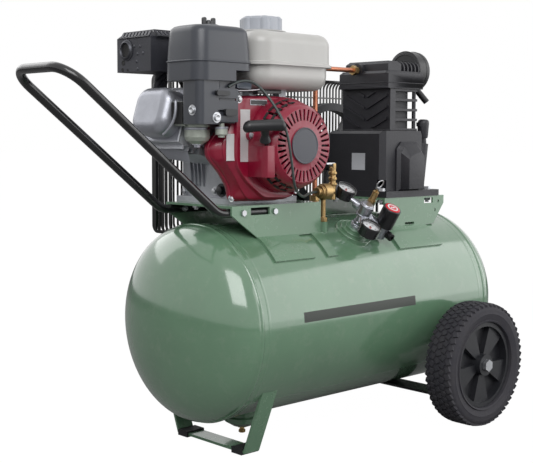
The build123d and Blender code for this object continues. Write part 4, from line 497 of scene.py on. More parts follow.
POT_METAL = BareMetal("regulator_metal", shade(168, 170, 178), 0.28, stain=shade(70, 70, 76),
                      stains=0.4).make()
CARB_ZINC = Casting("carburettor_zinc", shade(176, 182, 172), 0.4, 0.4, 0.0001, 500).make()
LABEL_WHITE = Plate("bare_label", shade(206, 206, 206)).make()
LABEL_GREY = Plate("bare_plate", shade(188, 191, 197), 0.3).make()
BADGE_GREY = Moulding("badge_grey", shade(66, 68, 76), 0.4).make()
DIAL_WHITE = Plate("dial_white", shade(228, 229, 231), 0.4).make()
DIAL_INK = Moulding("dial_ink", shade(28, 28, 32), 0.5).make()
NEEDLE_RED = Moulding("needle_red", shade(186, 40, 34), 0.4).make()
KNOB_TOP = Moulding("knob_top", shade(206, 30, 46), 0.35).make()
CABLE_GREY = Moulding("cable_sheath", shade(58, 66, 65), 0.4).make()
GLASS = ClearGlass("gauge_glass").make()


# ------------------------------------------------------------------------------ modelling tools
class Bench:
    """The modelling steps that the pieces share, from a primitive, a curve or a part's copy."""

    @staticmethod
    def clear() -> None:
        """Deselect everything."""
        bpy.ops.object.select_all(action="DESELECT")

    @staticmethod
    def hold(piece: bpy.types.Object) -> None:
        """Make one piece the selected and active object."""
        Bench.clear()
        piece.select_set(True)
        bpy.context.view_layer.objects.active = piece

    @staticmethod
    def named(name: str) -> bpy.types.Object:
        """Name the object that an operator has just made."""
        piece = bpy.context.object
        piece.name = piece.data.name = name
        return piece

    @staticmethod
    def linked(name: str, data: bpy.types.ID) -> bpy.types.Object:
        """Make an object of some data and link it to the scene."""
        piece = bpy.data.objects.new(name, data)
        bpy.context.scene.collection.objects.link(piece)
        return piece

    @staticmethod
    def facing(axis: Point) -> tuple[float, float, float]:
        """The Euler angles that turn +Z to an axis."""
        return tuple(UP.rotation_difference(Vector(axis)).to_euler())

    @staticmethod
    def cylinder(name: str, radius: float, depth: float, centre: Point, axis: Point,
                 sides: int) -> bpy.types.Object:
        """A cylinder to start from.

        Args:
            name: The piece's name.
            radius: Its radius.
            depth: Its length along the axis.
            centre: Its middle.
            axis: The way its axis points.
            sides: How many flat sides.

        Returns:
            The new object.
        """
        Bench.clear()
        bpy.ops.mesh.primitive_cone_add(vertices=sides, radius1=radius, radius2=radius, depth=depth,
                                        location=tuple(centre), rotation=Bench.facing(axis))
        return Bench.settle(Bench.named(name))

    @staticmethod
    def block(name: str, size: Point, centre: Point, turn: Point = (0, 0, 0)) -> bpy.types.Object:
        """A box to start from, given its size, its middle and its Euler angles."""
        Bench.clear()
        bpy.ops.mesh.primitive_cube_add(size=1, location=tuple(centre), rotation=tuple(turn))
        piece = Bench.named(name)
        piece.scale = tuple(size)
        return Bench.settle(piece)

    @staticmethod
    def settle(piece: bpy.types.Object) -> bpy.types.Object:
        """Put the piece's place into its mesh, so that its object sits at the origin."""
        Bench.hold(piece)
        bpy.ops.object.transform_apply(location=True, rotation=True, scale=True)
        return piece

    @staticmethod
    def edit(piece: bpy.types.Object, faces: Callable[[bpy.types.MeshPolygon], bool] | None,
             *steps: Callable[[], object]) -> bpy.types.Object:
        """Select faces by a test and run edit-mode steps on them.

        Args:
            piece: The mesh object.
            faces: Tells which faces are selected, or None for all of them.
            steps: The operators to run, in order.

        Returns:
            The same object.
        """
        Bench.hold(piece)
        mesh = piece.data
        for part in (mesh.vertices, mesh.edges, mesh.polygons):
            part.foreach_set("select", [False] * len(part))
        for face in mesh.polygons:
            face.select = faces is None or faces(face)
        bpy.ops.object.mode_set(mode="EDIT")
        bpy.ops.mesh.select_mode(type="FACE")
        for step in steps:
            step()
        bpy.ops.object.mode_set(mode="OBJECT")
        return piece

    @staticmethod
    def bevel(piece: bpy.types.Object, width: float, segments: int = 2,
              angle: float = 35.0) -> bpy.types.Object:
        """Round the edges that turn more than an angle in degrees."""
        change = piece.modifiers.new("rounding", "BEVEL")
        change.width, change.segments, change.limit_method = width, segments, "ANGLE"
        change.angle_limit = math.radians(angle)
        return Bench.apply(piece, change)

    @staticmethod
    def apply(piece: bpy.types.Object, change: bpy.types.Modifier) -> bpy.types.Object:
        """Apply a modifier to the piece."""
        Bench.hold(piece)
        bpy.ops.object.modifier_apply(modifier=change.name)
        return piece

    @staticmethod
    def turned(name: str, profile: Pairs, centre: Point, axis: Point,
               steps: int = 64) -> bpy.types.Object:
        """Spin a closed profile into a solid.

        Args:
            name: The piece's name.
            profile: Points of radius and distance along the axis, all the way round the section.
            centre: The point that the distances start from.
            axis: The axis of the turning.
            steps: How many copies go round.

        Returns:
            The new object.
        """
        Bench.clear()
        bpy.ops.mesh.primitive_circle_add(vertices=len(profile), radius=0.01)
        piece = Bench.named(name)
        along = Vector(axis).normalized()
        out = along.orthogonal().normalized()
        for vertex, (radius, distance) in zip(piece.data.vertices, profile):
            vertex.co = Vector(centre) + out * radius + along * distance
        bpy.ops.object.mode_set(mode="EDIT")
        bpy.ops.mesh.select_mode(type="VERT")
        bpy.ops.mesh.select_all(action="SELECT")
        bpy.ops.mesh.spin(steps=steps, angle=2 * math.pi, center=tuple(centre), axis=tuple(along))
        bpy.ops.mesh.select_all(action="SELECT")
        bpy.ops.mesh.remove_doubles(threshold=1e-6)
        bpy.ops.mesh.dissolve_degenerate(threshold=1e-7)
        bpy.ops.mesh.normals_make_consistent(inside=False)
        bpy.ops.object.mode_set(mode="OBJECT")
        return piece

    @staticmethod
    def lofted(name: str, rings: Sequence[Sequence[Point]]) -> bpy.types.Object:
        """Shape a grid into a skin through rings of points, and close its open ends.

        Args:
            name: The piece's name.
            rings: Rings with equal counts of points, in order.

        Returns:
            The new object.
        """
        count, levels = len(rings[0]), len(rings)
        Bench.clear()
        bpy.ops.mesh.primitive_grid_add(x_subdivisions=count, y_subdivisions=levels - 1, size=2)
        piece = Bench.named(name)
        for vertex in piece.data.vertices:
            around = round((vertex.co.x + 1) / 2 * count) % count
            vertex.co = rings[round((vertex.co.y + 1) / 2 * (levels - 1))][around]
        bpy.ops.object.mode_set(mode="EDIT")
        bpy.ops.mesh.select_all(action="SELECT")
        bpy.ops.mesh.remove_doubles(threshold=1e-6)
        bpy.ops.mesh.fill_holes(sides=0)
        bpy.ops.mesh.select_all(action="SELECT")
        bpy.ops.mesh.normals_make_consistent(inside=False)
        bpy.ops.object.mode_set(mode="OBJECT")
        return piece

    @staticmethod
    def bead(name: str, node: str, at: Point, normal: Point, radius: float) -> bpy.types.Object:
        """Lay a round bead along the line where a plane meets a part of the model.

        Args:
            name: The piece's name.
            node: The part.
            at: A point of the plane.
            normal: The plane's normal.
            radius: The bead's radius.

        Returns:
            The bead.
        """
        piece = Bench.linked(name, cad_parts[node].data.copy())
        Bench.edit(piece, None, lambda: bpy.ops.mesh.remove_doubles(threshold=1e-5),
                   lambda: bpy.ops.mesh.bisect(plane_co=tuple(at), plane_no=tuple(normal), clear_inner=True,
                                               clear_outer=True),
                   lambda: bpy.ops.mesh.select_all(action="SELECT"),
                   lambda: bpy.ops.mesh.remove_doubles(threshold=2e-4))
        bpy.ops.object.convert(target="CURVE")
        piece = bpy.context.object
        piece.data.bevel_depth, piece.data.bevel_resolution = radius, 2
        bpy.ops.object.convert(target="MESH")
        return Bench.named(name)

    @staticmethod
    def copy_of(name: str, node: str) -> bpy.types.Object:
        """A copy of a part of the model with its own mesh, its triangles joined up."""
        piece = Bench.linked(name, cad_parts[node].data.copy())
        Bench.hold(piece)
        bpy.ops.mesh.customdata_custom_splitnormals_clear()
        return Bench.edit(piece, None, lambda: bpy.ops.mesh.remove_doubles(threshold=1e-6))

    @staticmethod
    def ease(piece: bpy.types.Object, width: float) -> bpy.types.Object:
        """Merge a piece's flat faces and round its sharp edges."""
        Bench.edit(piece, None, lambda: bpy.ops.mesh.dissolve_limited(angle_limit=math.radians(1.5)))
        return Bench.bevel(piece, width, 2, 32)

    @staticmethod
    def eased(name: str, node: str, width: float) -> bpy.types.Object:
        """Copy a part and ease its sharp edges, as on a casting or a pressing.

        Args:
            name: The piece's name.
            node: The part.
            width: How wide the eased edge is.

        Returns:
            The copy.
        """
        piece = Bench.ease(Bench.copy_of(name, node), width)
        normals = piece.modifiers.new("normals", "WEIGHTED_NORMAL")
        normals.keep_sharp = True
        return piece

    @staticmethod
    def cast_copy(name: str, node: str, grain: float, passes: int) -> bpy.types.Object:
        """Copy a part as a soft casting: its joints flow into each other.

        Args:
            name: The piece's name.
            node: The part.
            grain: The size of the remeshed cells.
            passes: How many times the skin is smoothed.

        Returns:
            The copy.
        """
        piece = Bench.copy_of(name, node)
        change = piece.modifiers.new("cells", "REMESH")
        change.mode, change.voxel_size = "VOXEL", grain
        Bench.apply(piece, change)
        change = piece.modifiers.new("flow", "SMOOTH")
        change.iterations, change.factor = passes, 0.5
        return Bench.apply(piece, change)

    @staticmethod
    def curve(name: str, points: Sequence[Point], radius: float) -> bpy.types.Object:
        """Lay a smooth curve with a round section.

        Args:
            name: The piece's name.
            points: The control points of the middle line.
            radius: The radius of the section.

        Returns:
            The new curve object.
        """
        curve = bpy.data.curves.new(name, "CURVE")
        curve.dimensions, curve.bevel_depth, curve.bevel_resolution = "3D", radius, 3
        curve.resolution_u, curve.use_fill_caps = 12, True
        spline = curve.splines.new("NURBS")
        spline.points.add(len(points) - 1)
        for point, place in zip(spline.points, points):
            point.co = (*place, 1)
        spline.order_u, spline.use_endpoint_u = 3, True
        return Bench.linked(name, curve)

    @staticmethod
    def tube(name: str, points: Sequence[Point], radius: float) -> bpy.types.Object:
        """Sweep a round section through points into a mesh."""
        Bench.hold(Bench.curve(name, points, radius))
        bpy.ops.object.convert(target="MESH")
        return Bench.named(name)

    @staticmethod
    def round_section(radius: float, size: float) -> list[tuple[float, float]]:
        """An eight-sided section of a ring: size is its radius, radius that of its middle line."""
        turns = [math.radians(angle) for angle in range(0, 360, 45)]
        return [(radius + size * math.cos(turn), size * math.sin(turn)) for turn in turns]

    @staticmethod
    def panel(name: str, corners: Sequence[Point], thickness: float, bulge: float = 0.0) -> bpy.types.Object:
        """A thin plate through four corners, with rounded edges and a raised rim.

        Args:
            name: The piece's name.
            corners: Four corners in order, seen from outside.
            thickness: How far the plate stands off.
            bulge: How far its rim stands above its field.

        Returns:
            The new object.
        """
        Bench.clear()
        bpy.ops.mesh.primitive_plane_add(size=1)
        piece = Bench.named(name)
        order = (0, 1, 3, 2)
        for vertex, index in zip(piece.data.vertices, order):
            vertex.co = corners[index]
        a, b, c = (Vector(corner) for corner in corners[:3])
        out = (b - a).cross(c - b).normalized()
        Bench.edit(piece, None, lambda: bpy.ops.mesh.extrude_region_move(
            TRANSFORM_OT_translate={"value": tuple(out * thickness)}),
            lambda: bpy.ops.mesh.inset(thickness=thickness * 1.2, depth=0),
            lambda: bpy.ops.mesh.inset(thickness=thickness * 0.6, depth=-bulge),
            lambda: bpy.ops.mesh.select_all(action="SELECT"),
            lambda: bpy.ops.mesh.normals_make_consistent(inside=False))
        return piece

    @staticmethod
    def copies(piece: bpy.types.Object, places: Iterable[Matrix]) -> bpy.types.Object:
        """Put a copy of the piece at each place, each with its own mesh, and join them.

        Args:
            piece: The model, which is used up.
            places: One matrix for each copy.

        Returns:
            The joined object.
        """
        made = []
        for place in places:
            made.append(Bench.linked(piece.name, piece.data.copy()))
            made[-1].data.transform(place)
        name = piece.name
        bpy.data.objects.remove(piece)
        return Bench.join(name, made)

    @staticmethod
    def join(name: str, parts: Sequence[bpy.types.Object]) -> bpy.types.Object:
        """Join meshes into one object with a name."""
        Bench.hold(parts[0])
        for part in parts:
            part.select_set(True)
        bpy.ops.object.join()
        return Bench.named(name)

    @staticmethod
    def round_axis(count: int, centre: Vector, axis: Point, start: float) -> list[Matrix]:
        """Matrices that turn a piece to equal steps round a full circle.

        Args:
            count: How many places.
            centre: A point on the axis.
            axis: The axis.
            start: The first angle in degrees.

        Returns:
            The matrices.
        """
        there, back = Matrix.Translation(centre), Matrix.Translation(-centre)
        turns = [math.radians(start + 360 / count * index) for index in range(count)]
        return [there @ Matrix.Rotation(turn, 4, Vector(axis)) @ back for turn in turns]

    @staticmethod
    def finish(piece: bpy.types.Object, material: bpy.types.Material, angle: float) -> bpy.types.Object:
        """Smooth a mesh, but for its edges sharper than an angle in degrees, and give it its material."""
        Bench.hold(piece)
        bpy.ops.object.shade_smooth_by_angle(angle=math.radians(angle))
        piece.data.materials.clear()
        piece.data.materials.append(material)
        return piece

    @staticmethod
    def done(piece: bpy.types.Object, material: bpy.types.Material, angle: float = 40.0,
             body: str = "frame") -> bpy.types.Object:
        """Smooth, dress and seat a finished mesh on its body.

        Args:
            piece: The mesh object.
            material: Its material.
            angle: Edges sharper than this angle in degrees stay sharp.
            body: The body that it rides on.

        Returns:
            The same object.
        """
        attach(Bench.finish(piece, material, angle), body)
        LOG.info("piece %s rides on %s with %d faces", piece.name, body, len(piece.data.polygons))
        return piece

    @staticmethod
    def group(name: str, parts: Sequence[bpy.types.Object], material: bpy.types.Material,
              angle: float = 30.0, body: str = "frame") -> bpy.types.Object:
        """Join small parts into one piece and finish it with done()."""
        return Bench.done(Bench.join(name, parts), material, angle, body)


def dress(material: bpy.types.Material, *nodes: str) -> None:
    """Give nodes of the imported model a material."""
    for name in nodes:
        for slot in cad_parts[name].material_slots:
            slot.material = material
        LOG.info("node %s dressed in %s", name, material.name)


def stand_in(piece: bpy.types.Object, node: str) -> None:
    """Hide a node behind the piece made for it."""
    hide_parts(node)


def replace(name: str, node: str, ease: float, material: bpy.types.Material) -> None:
    """Stand a copy with eased edges in for a node.

    Args:
        name: The new piece's name.
        node: The node that it replaces.
        ease: The width of its eased edges.
        material: Its material.
    """
    stand_in(Bench.done(Bench.eased(name, node, ease), material, 32), node)


@dataclass
class Fastener:
    """A hexagon-headed screw with a washer, or a cross-headed one."""

    radius: float = 0.005
    height: float = 0.003
    hexagon: bool = True

    def mesh(self, name: str, at: Point, axis: Point) -> bpy.types.Object:
        """Model the head.

        Args:
            name: The piece's name.
            at: Where it sits.
            axis: The way it points.

        Returns:
            The head and its washer, joined.
        """
        way = Vector(axis).normalized()
        base = Vector(at)
        washer = Bench.cylinder(name + "_washer", self.radius * 1.45, self.height * 0.3,
                                base + way * self.height * 0.15, way, 28)
        head = Bench.cylinder(name, self.radius, self.height, base + way * self.height * 0.7, way,
                              6 if self.hexagon else 24)
        if not self.hexagon:
            top = base + way * self.height * 1.2
            Bench.edit(head, lambda face: (face.center - top).length < self.radius * 0.2,
                       lambda: bpy.ops.mesh.inset(thickness=self.radius * 0.45, depth=0),
                       lambda: bpy.ops.mesh.inset(thickness=self.radius * 0.1, depth=-self.height * 0.4))
        Bench.bevel(head, self.radius * 0.12, 2)
        return Bench.join(name, [washer, head])


# ------------------------------------------------------------------------------ sub-assemblies
@dataclass
class Tank:
    """The air tank with its bosses and weld beads."""

    radius: float = 0.178
    axis_height: float = 0.2288
    half_length: float = 0.311
    bead: float = 0.0024
    half_width: float = 0.0045
    joggle: float = 0.016

    def build(self) -> None:
        """Dress the shell and lay the weld beads."""
        dress(PAINT_SHELL, "tank_shell")
        dress(PAINT_TANK, "tank_heads", "tank_bosses")
        for kind, distance, height in (("seam", self.half_length, self.bead),
                                       ("joggle", self.half_length - self.joggle, self.bead * 0.4)):
            for end, side in (("handle", -1), ("wheel", 1)):
                centre = Vector((SHIFT_X + side * distance, 0, self.axis_height))
                self.seam(f"{kind}_{end}_end", centre, height)

    def seam(self, name: str, centre: Vector, height: float) -> None:
        """Lay a weld bead or a rolled step round the tank."""
        half, reach = self.half_width, self.radius - 0.0006
        profile = [(reach, -half), (reach + height * 0.7, -half * 0.6), (reach + height, 0),
                   (reach + height * 0.7, half * 0.6), (reach, half), (reach - 0.001, 0)]
        Bench.done(Bench.turned(name, profile, centre, RIGHT, 160), PAINT_TANK)


@dataclass
class Chassis:
    """The platforms, the foot, the axle bracket, the handle and the bolts."""

    def build(self) -> None:
        """Dress the frame."""
        dress(PAINT_FRAME, "engine_platform", "pump_platform", "front_foot")
        dress(PAINT_BLACK, "axle_bracket", "handle")
        dress(SOFT_RUBBER, "foot_caps")
        dress(ZINC, "frame_bolts")


@dataclass
class Wheel:
    """A tyre with rows of small tread blocks on a moulded centre."""

    side: str
    middle_y: float
    centre_x: float = 0.3168
    radius: float = 0.121
    rim_radius: float = 0.083
    blocks: int = 54
    tread: float = 0.0028
    root: float = 0.0022
    block: float = 0.0104
    taper: float = 0.86
    shoulder: float = 0.22
    rows: tuple[float, ...] = (-0.0235, -0.0118, 0.0, 0.0118, 0.0235)
    leans: tuple[float, ...] = (0.4125, -0.45, 0.45, -0.45, -0.4125)

    def build(self) -> None:
        """Model the tyre and dress the wheel."""
        centre = Vector((self.centre_x, self.middle_y, self.radius))
        core, rim = self.radius - self.tread, self.rim_radius + 0.0006
        wall = [(rim, 0.0225), (rim + 0.001, 0.0285), (rim + 0.004, 0.0296), (rim + 0.0052, 0.0272),
                (rim + 0.009, 0.0282), (rim + 0.017, 0.0306), (rim + 0.0185, 0.0299), (rim + 0.024, 0.0302),
                (rim + 0.0295, 0.0284), (core - 0.0012, 0.0246), (core, 0.018), (core, 0.006)]
        profile = wall + [(radius, -y) for radius, y in reversed(wall)]
        carcass = Bench.turned(self.side + "_tyre_body", profile, centre, (0, 1, 0), 108)
        parts = [carcass] + [self.row(centre, index) for index in range(len(self.rows))]
        tyre = Bench.join(self.side + "_tyre_treaded", parts)
        stand_in(Bench.done(tyre, TYRE, 34, self.side + "_wheel"), self.side + "_tyre")
        dress(RIM_PLASTIC, self.side + "_rim")

    def row(self, centre: Vector, index: int) -> bpy.types.Object:
        """Model one block of a row of the tread and copy it round.

        Args:
            centre: The middle of the wheel.
            index: The row's number.

        Returns:
            The row as one object.
        """
        across = self.rows[index]
        edge = index in (0, len(self.rows) - 1)
        depth = self.tread + self.root
        size = (self.block, self.block - 0.0008 if edge else self.block, depth)
        drop = 0.0013 if edge else 0.0001
        at = centre + Vector((0, across, self.radius - depth / 2 - drop))
        block = Bench.block("tread_block", size, at, (0, 0, self.leans[index]))
        if edge:
            Bench.edit(block, lambda face: face.normal.z > 0.8,
                       lambda: bpy.ops.transform.rotate(value=math.copysign(self.shoulder, across),
                                                        orient_axis="X", center_override=tuple(at)))
        Bench.edit(block, lambda face: face.normal.z > 0.6,
                   lambda: bpy.ops.transform.resize(value=(self.taper, self.taper, 1)))
        start = 180 / self.blocks * (index % 2)
        return Bench.copies(block, Bench.round_axis(self.blocks, centre, (0, 1, 0), start))


@dataclass
class FanCover:
    """The red shell round the flywheel fan, with its starter's badge, plates and screws."""

    centre: Vector = field(default_factory=lambda: here(-67.5, 0, 547))
    corner: float = 12.0
    hole: float = 0.0802
    face: Pairs = ((20, 84), (-60, 83), (-98, 82), (-110, 70), (-110, 38), (-110, 10), (-110, -20),
                   (-108, -36), (-88, -62), (-46, -92), (20, -94))
    flank: Pairs = ((20, 86), (-60, 85), (-99, 83), (-111, 70), (-111, 38), (-147, 0), (-145, -20),
                    (-116, -48), (-98, -74), (-96, -96), (20, -98))
    drum: float = 87.6
    guide: float = 0.0842
    guide_back: float = -0.105
    guide_front: float = -0.127
    cone: tuple[float, float, float] = (84.45, -104.0, 0.3675)
    vent_starts: tuple[float, ...] = (96, 109, 122, 135, 225, 238, 251)
    vent_rows: Pairs = ((-111.2, -116.0), (-125.0, -130.0))
    vent_span: float = 10.5
    ears: tuple[float, ...] = (-72, 45, 168)

    def build(self) -> None:
        """Model the shell and the details on it."""
        shell = Bench.lofted("fan_shell", self.rings())
        stand_in(Bench.done(shell, PAINT_RED, 32), "fan_cover")
        self.starter()
        self.badge()
        self.plates()
        self.screws()

    def starter(self) -> None:
        """Ease the starter's slotted housing and narrow the rope's guide on it."""
        housing = Bench.copy_of("starter_housing", "recoil_housing")
        guide = self.centre.x - self.guide
        for vertex in housing.data.vertices:
            if vertex.co.x < guide - MM and vertex.co.y < self.guide_back:
                vertex.co.y = max(vertex.co.y, self.guide_front)
            vertex.co.x = max(vertex.co.x, guide)
        Bench.done(Bench.ease(housing, 0.0008), PAINT_RED, 32)
        stand_in(housing, "recoil_housing")
        self.vents()

    def vents(self) -> None:
        """Lay two rows of long vents round the cone of the starter's drum."""
        vents = []
        for start in self.vent_starts:
            end = start + self.vent_span
            for back, front in self.vent_rows:
                corners = [self.on_cone(angle, depth)
                           for angle, depth in ((start, back), (end, back), (end, front), (start, front))]
                vents.append(Bench.panel("drum_vent", corners, 0.0005, 0.0))
        Bench.group("drum_vents", vents, SOOT_AND_SHADE)

    def on_cone(self, angle: float, depth: float) -> Vector:
        """A point just over the cone of the starter's drum.

        Args:
            angle: The angle about the crankshaft, in degrees.
            depth: The point's Y in millimetres.

        Returns:
            The point.
        """
        base, back, slope = self.cone
        radius, turn = base - (back - depth) * slope, math.radians(angle)
        return self.centre + Vector((radius * math.cos(turn), depth, radius * math.sin(turn))) * MM

    def outline(self, points: Pairs, outset: float, depth: float) -> list[Vector]:
        """Round the corners of an outline and place it.

        Args:
            points: The corners, in millimetres from the crankshaft's axis.
            outset: How far the line stands outside the corners, in millimetres.
            depth: Its Y in millimetres.

        Returns:
            The ring of points.
        """
        arc = [(self.drum * math.cos(math.radians(a)), self.drum * math.sin(math.radians(a)))
               for a in (-52, -26, 0, 26, 52)]
        corners = [Vector(point) for point in list(points) + arc]
        ring = []
        for before, at, after in zip(corners[-1:] + corners[:-1], corners, corners[1:] + corners[:1]):
            reach = min(self.corner, 0.45 * (at - before).length, 0.45 * (after - at).length)
            start = at + (before - at).normalized() * reach
            stop = at + (after - at).normalized() * reach
            for step in (0, 0.25, 0.5, 0.75, 1):
                place = start * (1 - step) ** 2 + at * 2 * step * (1 - step) + stop * step ** 2
                place += place.normalized() * outset
                ring.append(self.centre + Vector((place.x, depth, place.y)) * MM)
        return ring

    def between(self, share: float) -> Pairs:
        """The corners part of the way from the face's outline to the flank's."""
        return [tuple(Vector(a).lerp(Vector(b), share)) for a, b in zip(self.face, self.flank)]

    def rings(self) -> list[list[Vector]]:
        """All rings of the shell, from the hole round the front to the back and in again."""
        levels = ((0.0, -3.2, -92.0), (0.0, -1.4, -92.0), (0.0, -0.3, -91.3), (0.0, 0.0, -90.0),
                  (0.03, 0.0, -86.0), (0.08, 0.4, -84.2), (0.46, 1.6, -80.6), (0.54, 1.2, -79.2),
                  (0.58, 0.6, -76.6), (0.8, 1.2, -69.6), (0.97, 0.4, -63.0), (1.0, 0.0, -60.0),
                  (1.0, 2.2, -59.3), (1.0, 2.6, -58.4), (1.0, 2.6, -52.0), (1.0, 1.8, -50.4),
                  (1.0, -0.5, -50.0))
        skin = [self.outline(self.between(share), outset, depth) for share, outset, depth in levels]
        inner = []
        for depth in (-50.0, -91.4):
            ring = []
            for point in skin[0]:
                way = Vector((point.x - self.centre.x, 0, point.z - self.centre.z)).normalized() * self.hole
                ring.append(Vector((self.centre.x + way.x, depth * MM, self.centre.z + way.z)))
            inner.append(ring)
        return [inner[1]] + skin + inner

    def badge(self) -> None:
        """Model the bare round badge in the middle of the starter."""
        profile = [(0.0, 0.0), (0.0, 0.0019), (0.016, 0.0018), (0.0288, 0.0015), (0.0296, 0.0021),
                   (0.0312, 0.0022), (0.0318, 0.0014), (0.0318, 0.0)]
        badge = Bench.turned("starter_badge", profile, self.centre + FRONT * 0.147, FRONT, 72)
        Bench.done(badge, BADGE_GREY, 30)

    def plates(self) -> None:
        """Lay the bare plates on the face and the flank of the shell."""
        long_plate = ((-169.5, -92.1, 519), (-147.6, -92.1, 519), (-147.6, -92.1, 609), (-169.5, -92.1, 609))
        short_plate = ((-193.4, -82.4, 521), (-173.6, -85.9, 521), (-173.6, -86.1, 567), (-193.4, -82.6, 567))
        for name, corners, height in (("plate_long", long_plate, 0.0005),
                                      ("plate_short", short_plate, 0.0012)):
            plate = Bench.panel(name, [here(*corner) for corner in corners], height, 0.0001)
            Bench.done(plate, LABEL_WHITE)
        for name, edge, height, material in (("plate_top_rim", 0.0, 0.0010, LABEL_GREY),
                                             ("plate_top", 1.1, 0.0016, BLACK_PLASTIC)):
            left, right, low, high = -147 + edge, -108 - edge, 617 + edge, 626.4 - edge
            corners = [here(x, -92, z) for x, z in ((left, low), (right, low), (right, high), (left, high))]
            Bench.done(Bench.panel(name, corners, height, 0.0002), material)

    def screws(self) -> None:
        """Fix the shell and the starter with flanged screws."""
        heads = [Fastener(0.0045, 0.004).mesh("shell_screw", here(x, y, z), FRONT)
                 for x, y, z in ((-161.5, -58.6, 454.5), (-172, -91, 626))]
        for angle in self.ears:
            way = Vector((math.cos(math.radians(angle)), 0, math.sin(math.radians(angle))))
            at = self.centre + way * 0.0835 + FRONT * 0.0955
            ear = Bench.cylinder("starter_ear", 0.0085, 0.007, at, FRONT, 28)
            Bench.done(Bench.bevel(ear, 0.001), PAINT_RED)
            at = self.centre + way * 0.0845 + FRONT * 0.0989
            heads.append(Fastener(0.0042, 0.004).mesh("ear_screw", at, FRONT))
        Bench.group("starter_screws", heads, ZINC)


@dataclass
class AirCleaner:
    """The air cleaner's cover with its seam, neck and screws."""

    box: tuple[Vector, Vector] = field(default_factory=lambda: box_of("air_cleaner_cover"))
    corner: float = 0.024
    corner_steps: int = 8
    levels: Pairs = ((0.0, 0.0), (0.35, 0.0012), (0.78, 0.0032), (0.89, 0.0048), (0.96, 0.0092),
                     (0.99, 0.0150), (1.0, 0.0240))

    def build(self) -> None:
        """Model the cover and the details."""
        low, high = self.box
        rings = [self.ring(low.z + (high.z - low.z) * share, inset) for share, inset in self.levels]
        cover = Bench.lofted("cleaner_cover", rings)
        neck_at = (low + high) / 2
        profile = [(0.0, 0.0), (0.021, 0.0), (0.0175, 0.003), (0.0145, 0.0042), (0.0, 0.0044)]
        neck = Bench.turned("cleaner_neck", profile, (neck_at.x, neck_at.y, high.z - 0.0006), UP, 40)
        lip = ((-1.6, 0.0012), (-1.6, -0.001), (-0.6, -0.0016), (0.8, -0.0016), (1.6, -0.001), (1.7, 0.0012))
        seam = Bench.lofted("cleaner_seam", [self.ring(low.z + z * MM, outset) for z, outset in lip])
        whole = Bench.group("cleaner_cover", [cover, neck, seam], CHARCOAL, 50)
        stand_in(whole, "air_cleaner_cover")
        replace("cleaner_base", "air_cleaner_base", 0.0014, CHARCOAL)
        screws = [Fastener(0.0062, 0.0034, False).mesh("elbow_screw", at, way)
                  for at, way in ((here(-265.5, -80.4, 606.2), -RIGHT), (here(-228.2, -98.2, 594.2), FRONT))]
        Bench.group("elbow_screws", screws, ZINC)

    def ring(self, height: float, inset: float) -> list[Vector]:
        """A rounded rectangle at a height.

        Args:
            height: Its Z.
            inset: How far it lies inside the cover's outline.

        Returns:
            The ring of points.
        """
        low, high = self.box
        radius = max(0.004, self.corner - inset * 0.3)
        points = []
        for turn, (x, y) in enumerate(((high.x, high.y), (low.x, high.y), (low.x, low.y), (high.x, low.y))):
            sx, sy = (1 if x == high.x else -1), (1 if y == high.y else -1)
            middle = Vector((x - sx * (radius + inset), y - sy * (radius + inset), height))
            for step in range(self.corner_steps + 1):
                angle = math.radians((turn + step / self.corner_steps) * 90)
                points.append(middle + Vector((math.cos(angle), math.sin(angle), 0)) * radius)
        return points


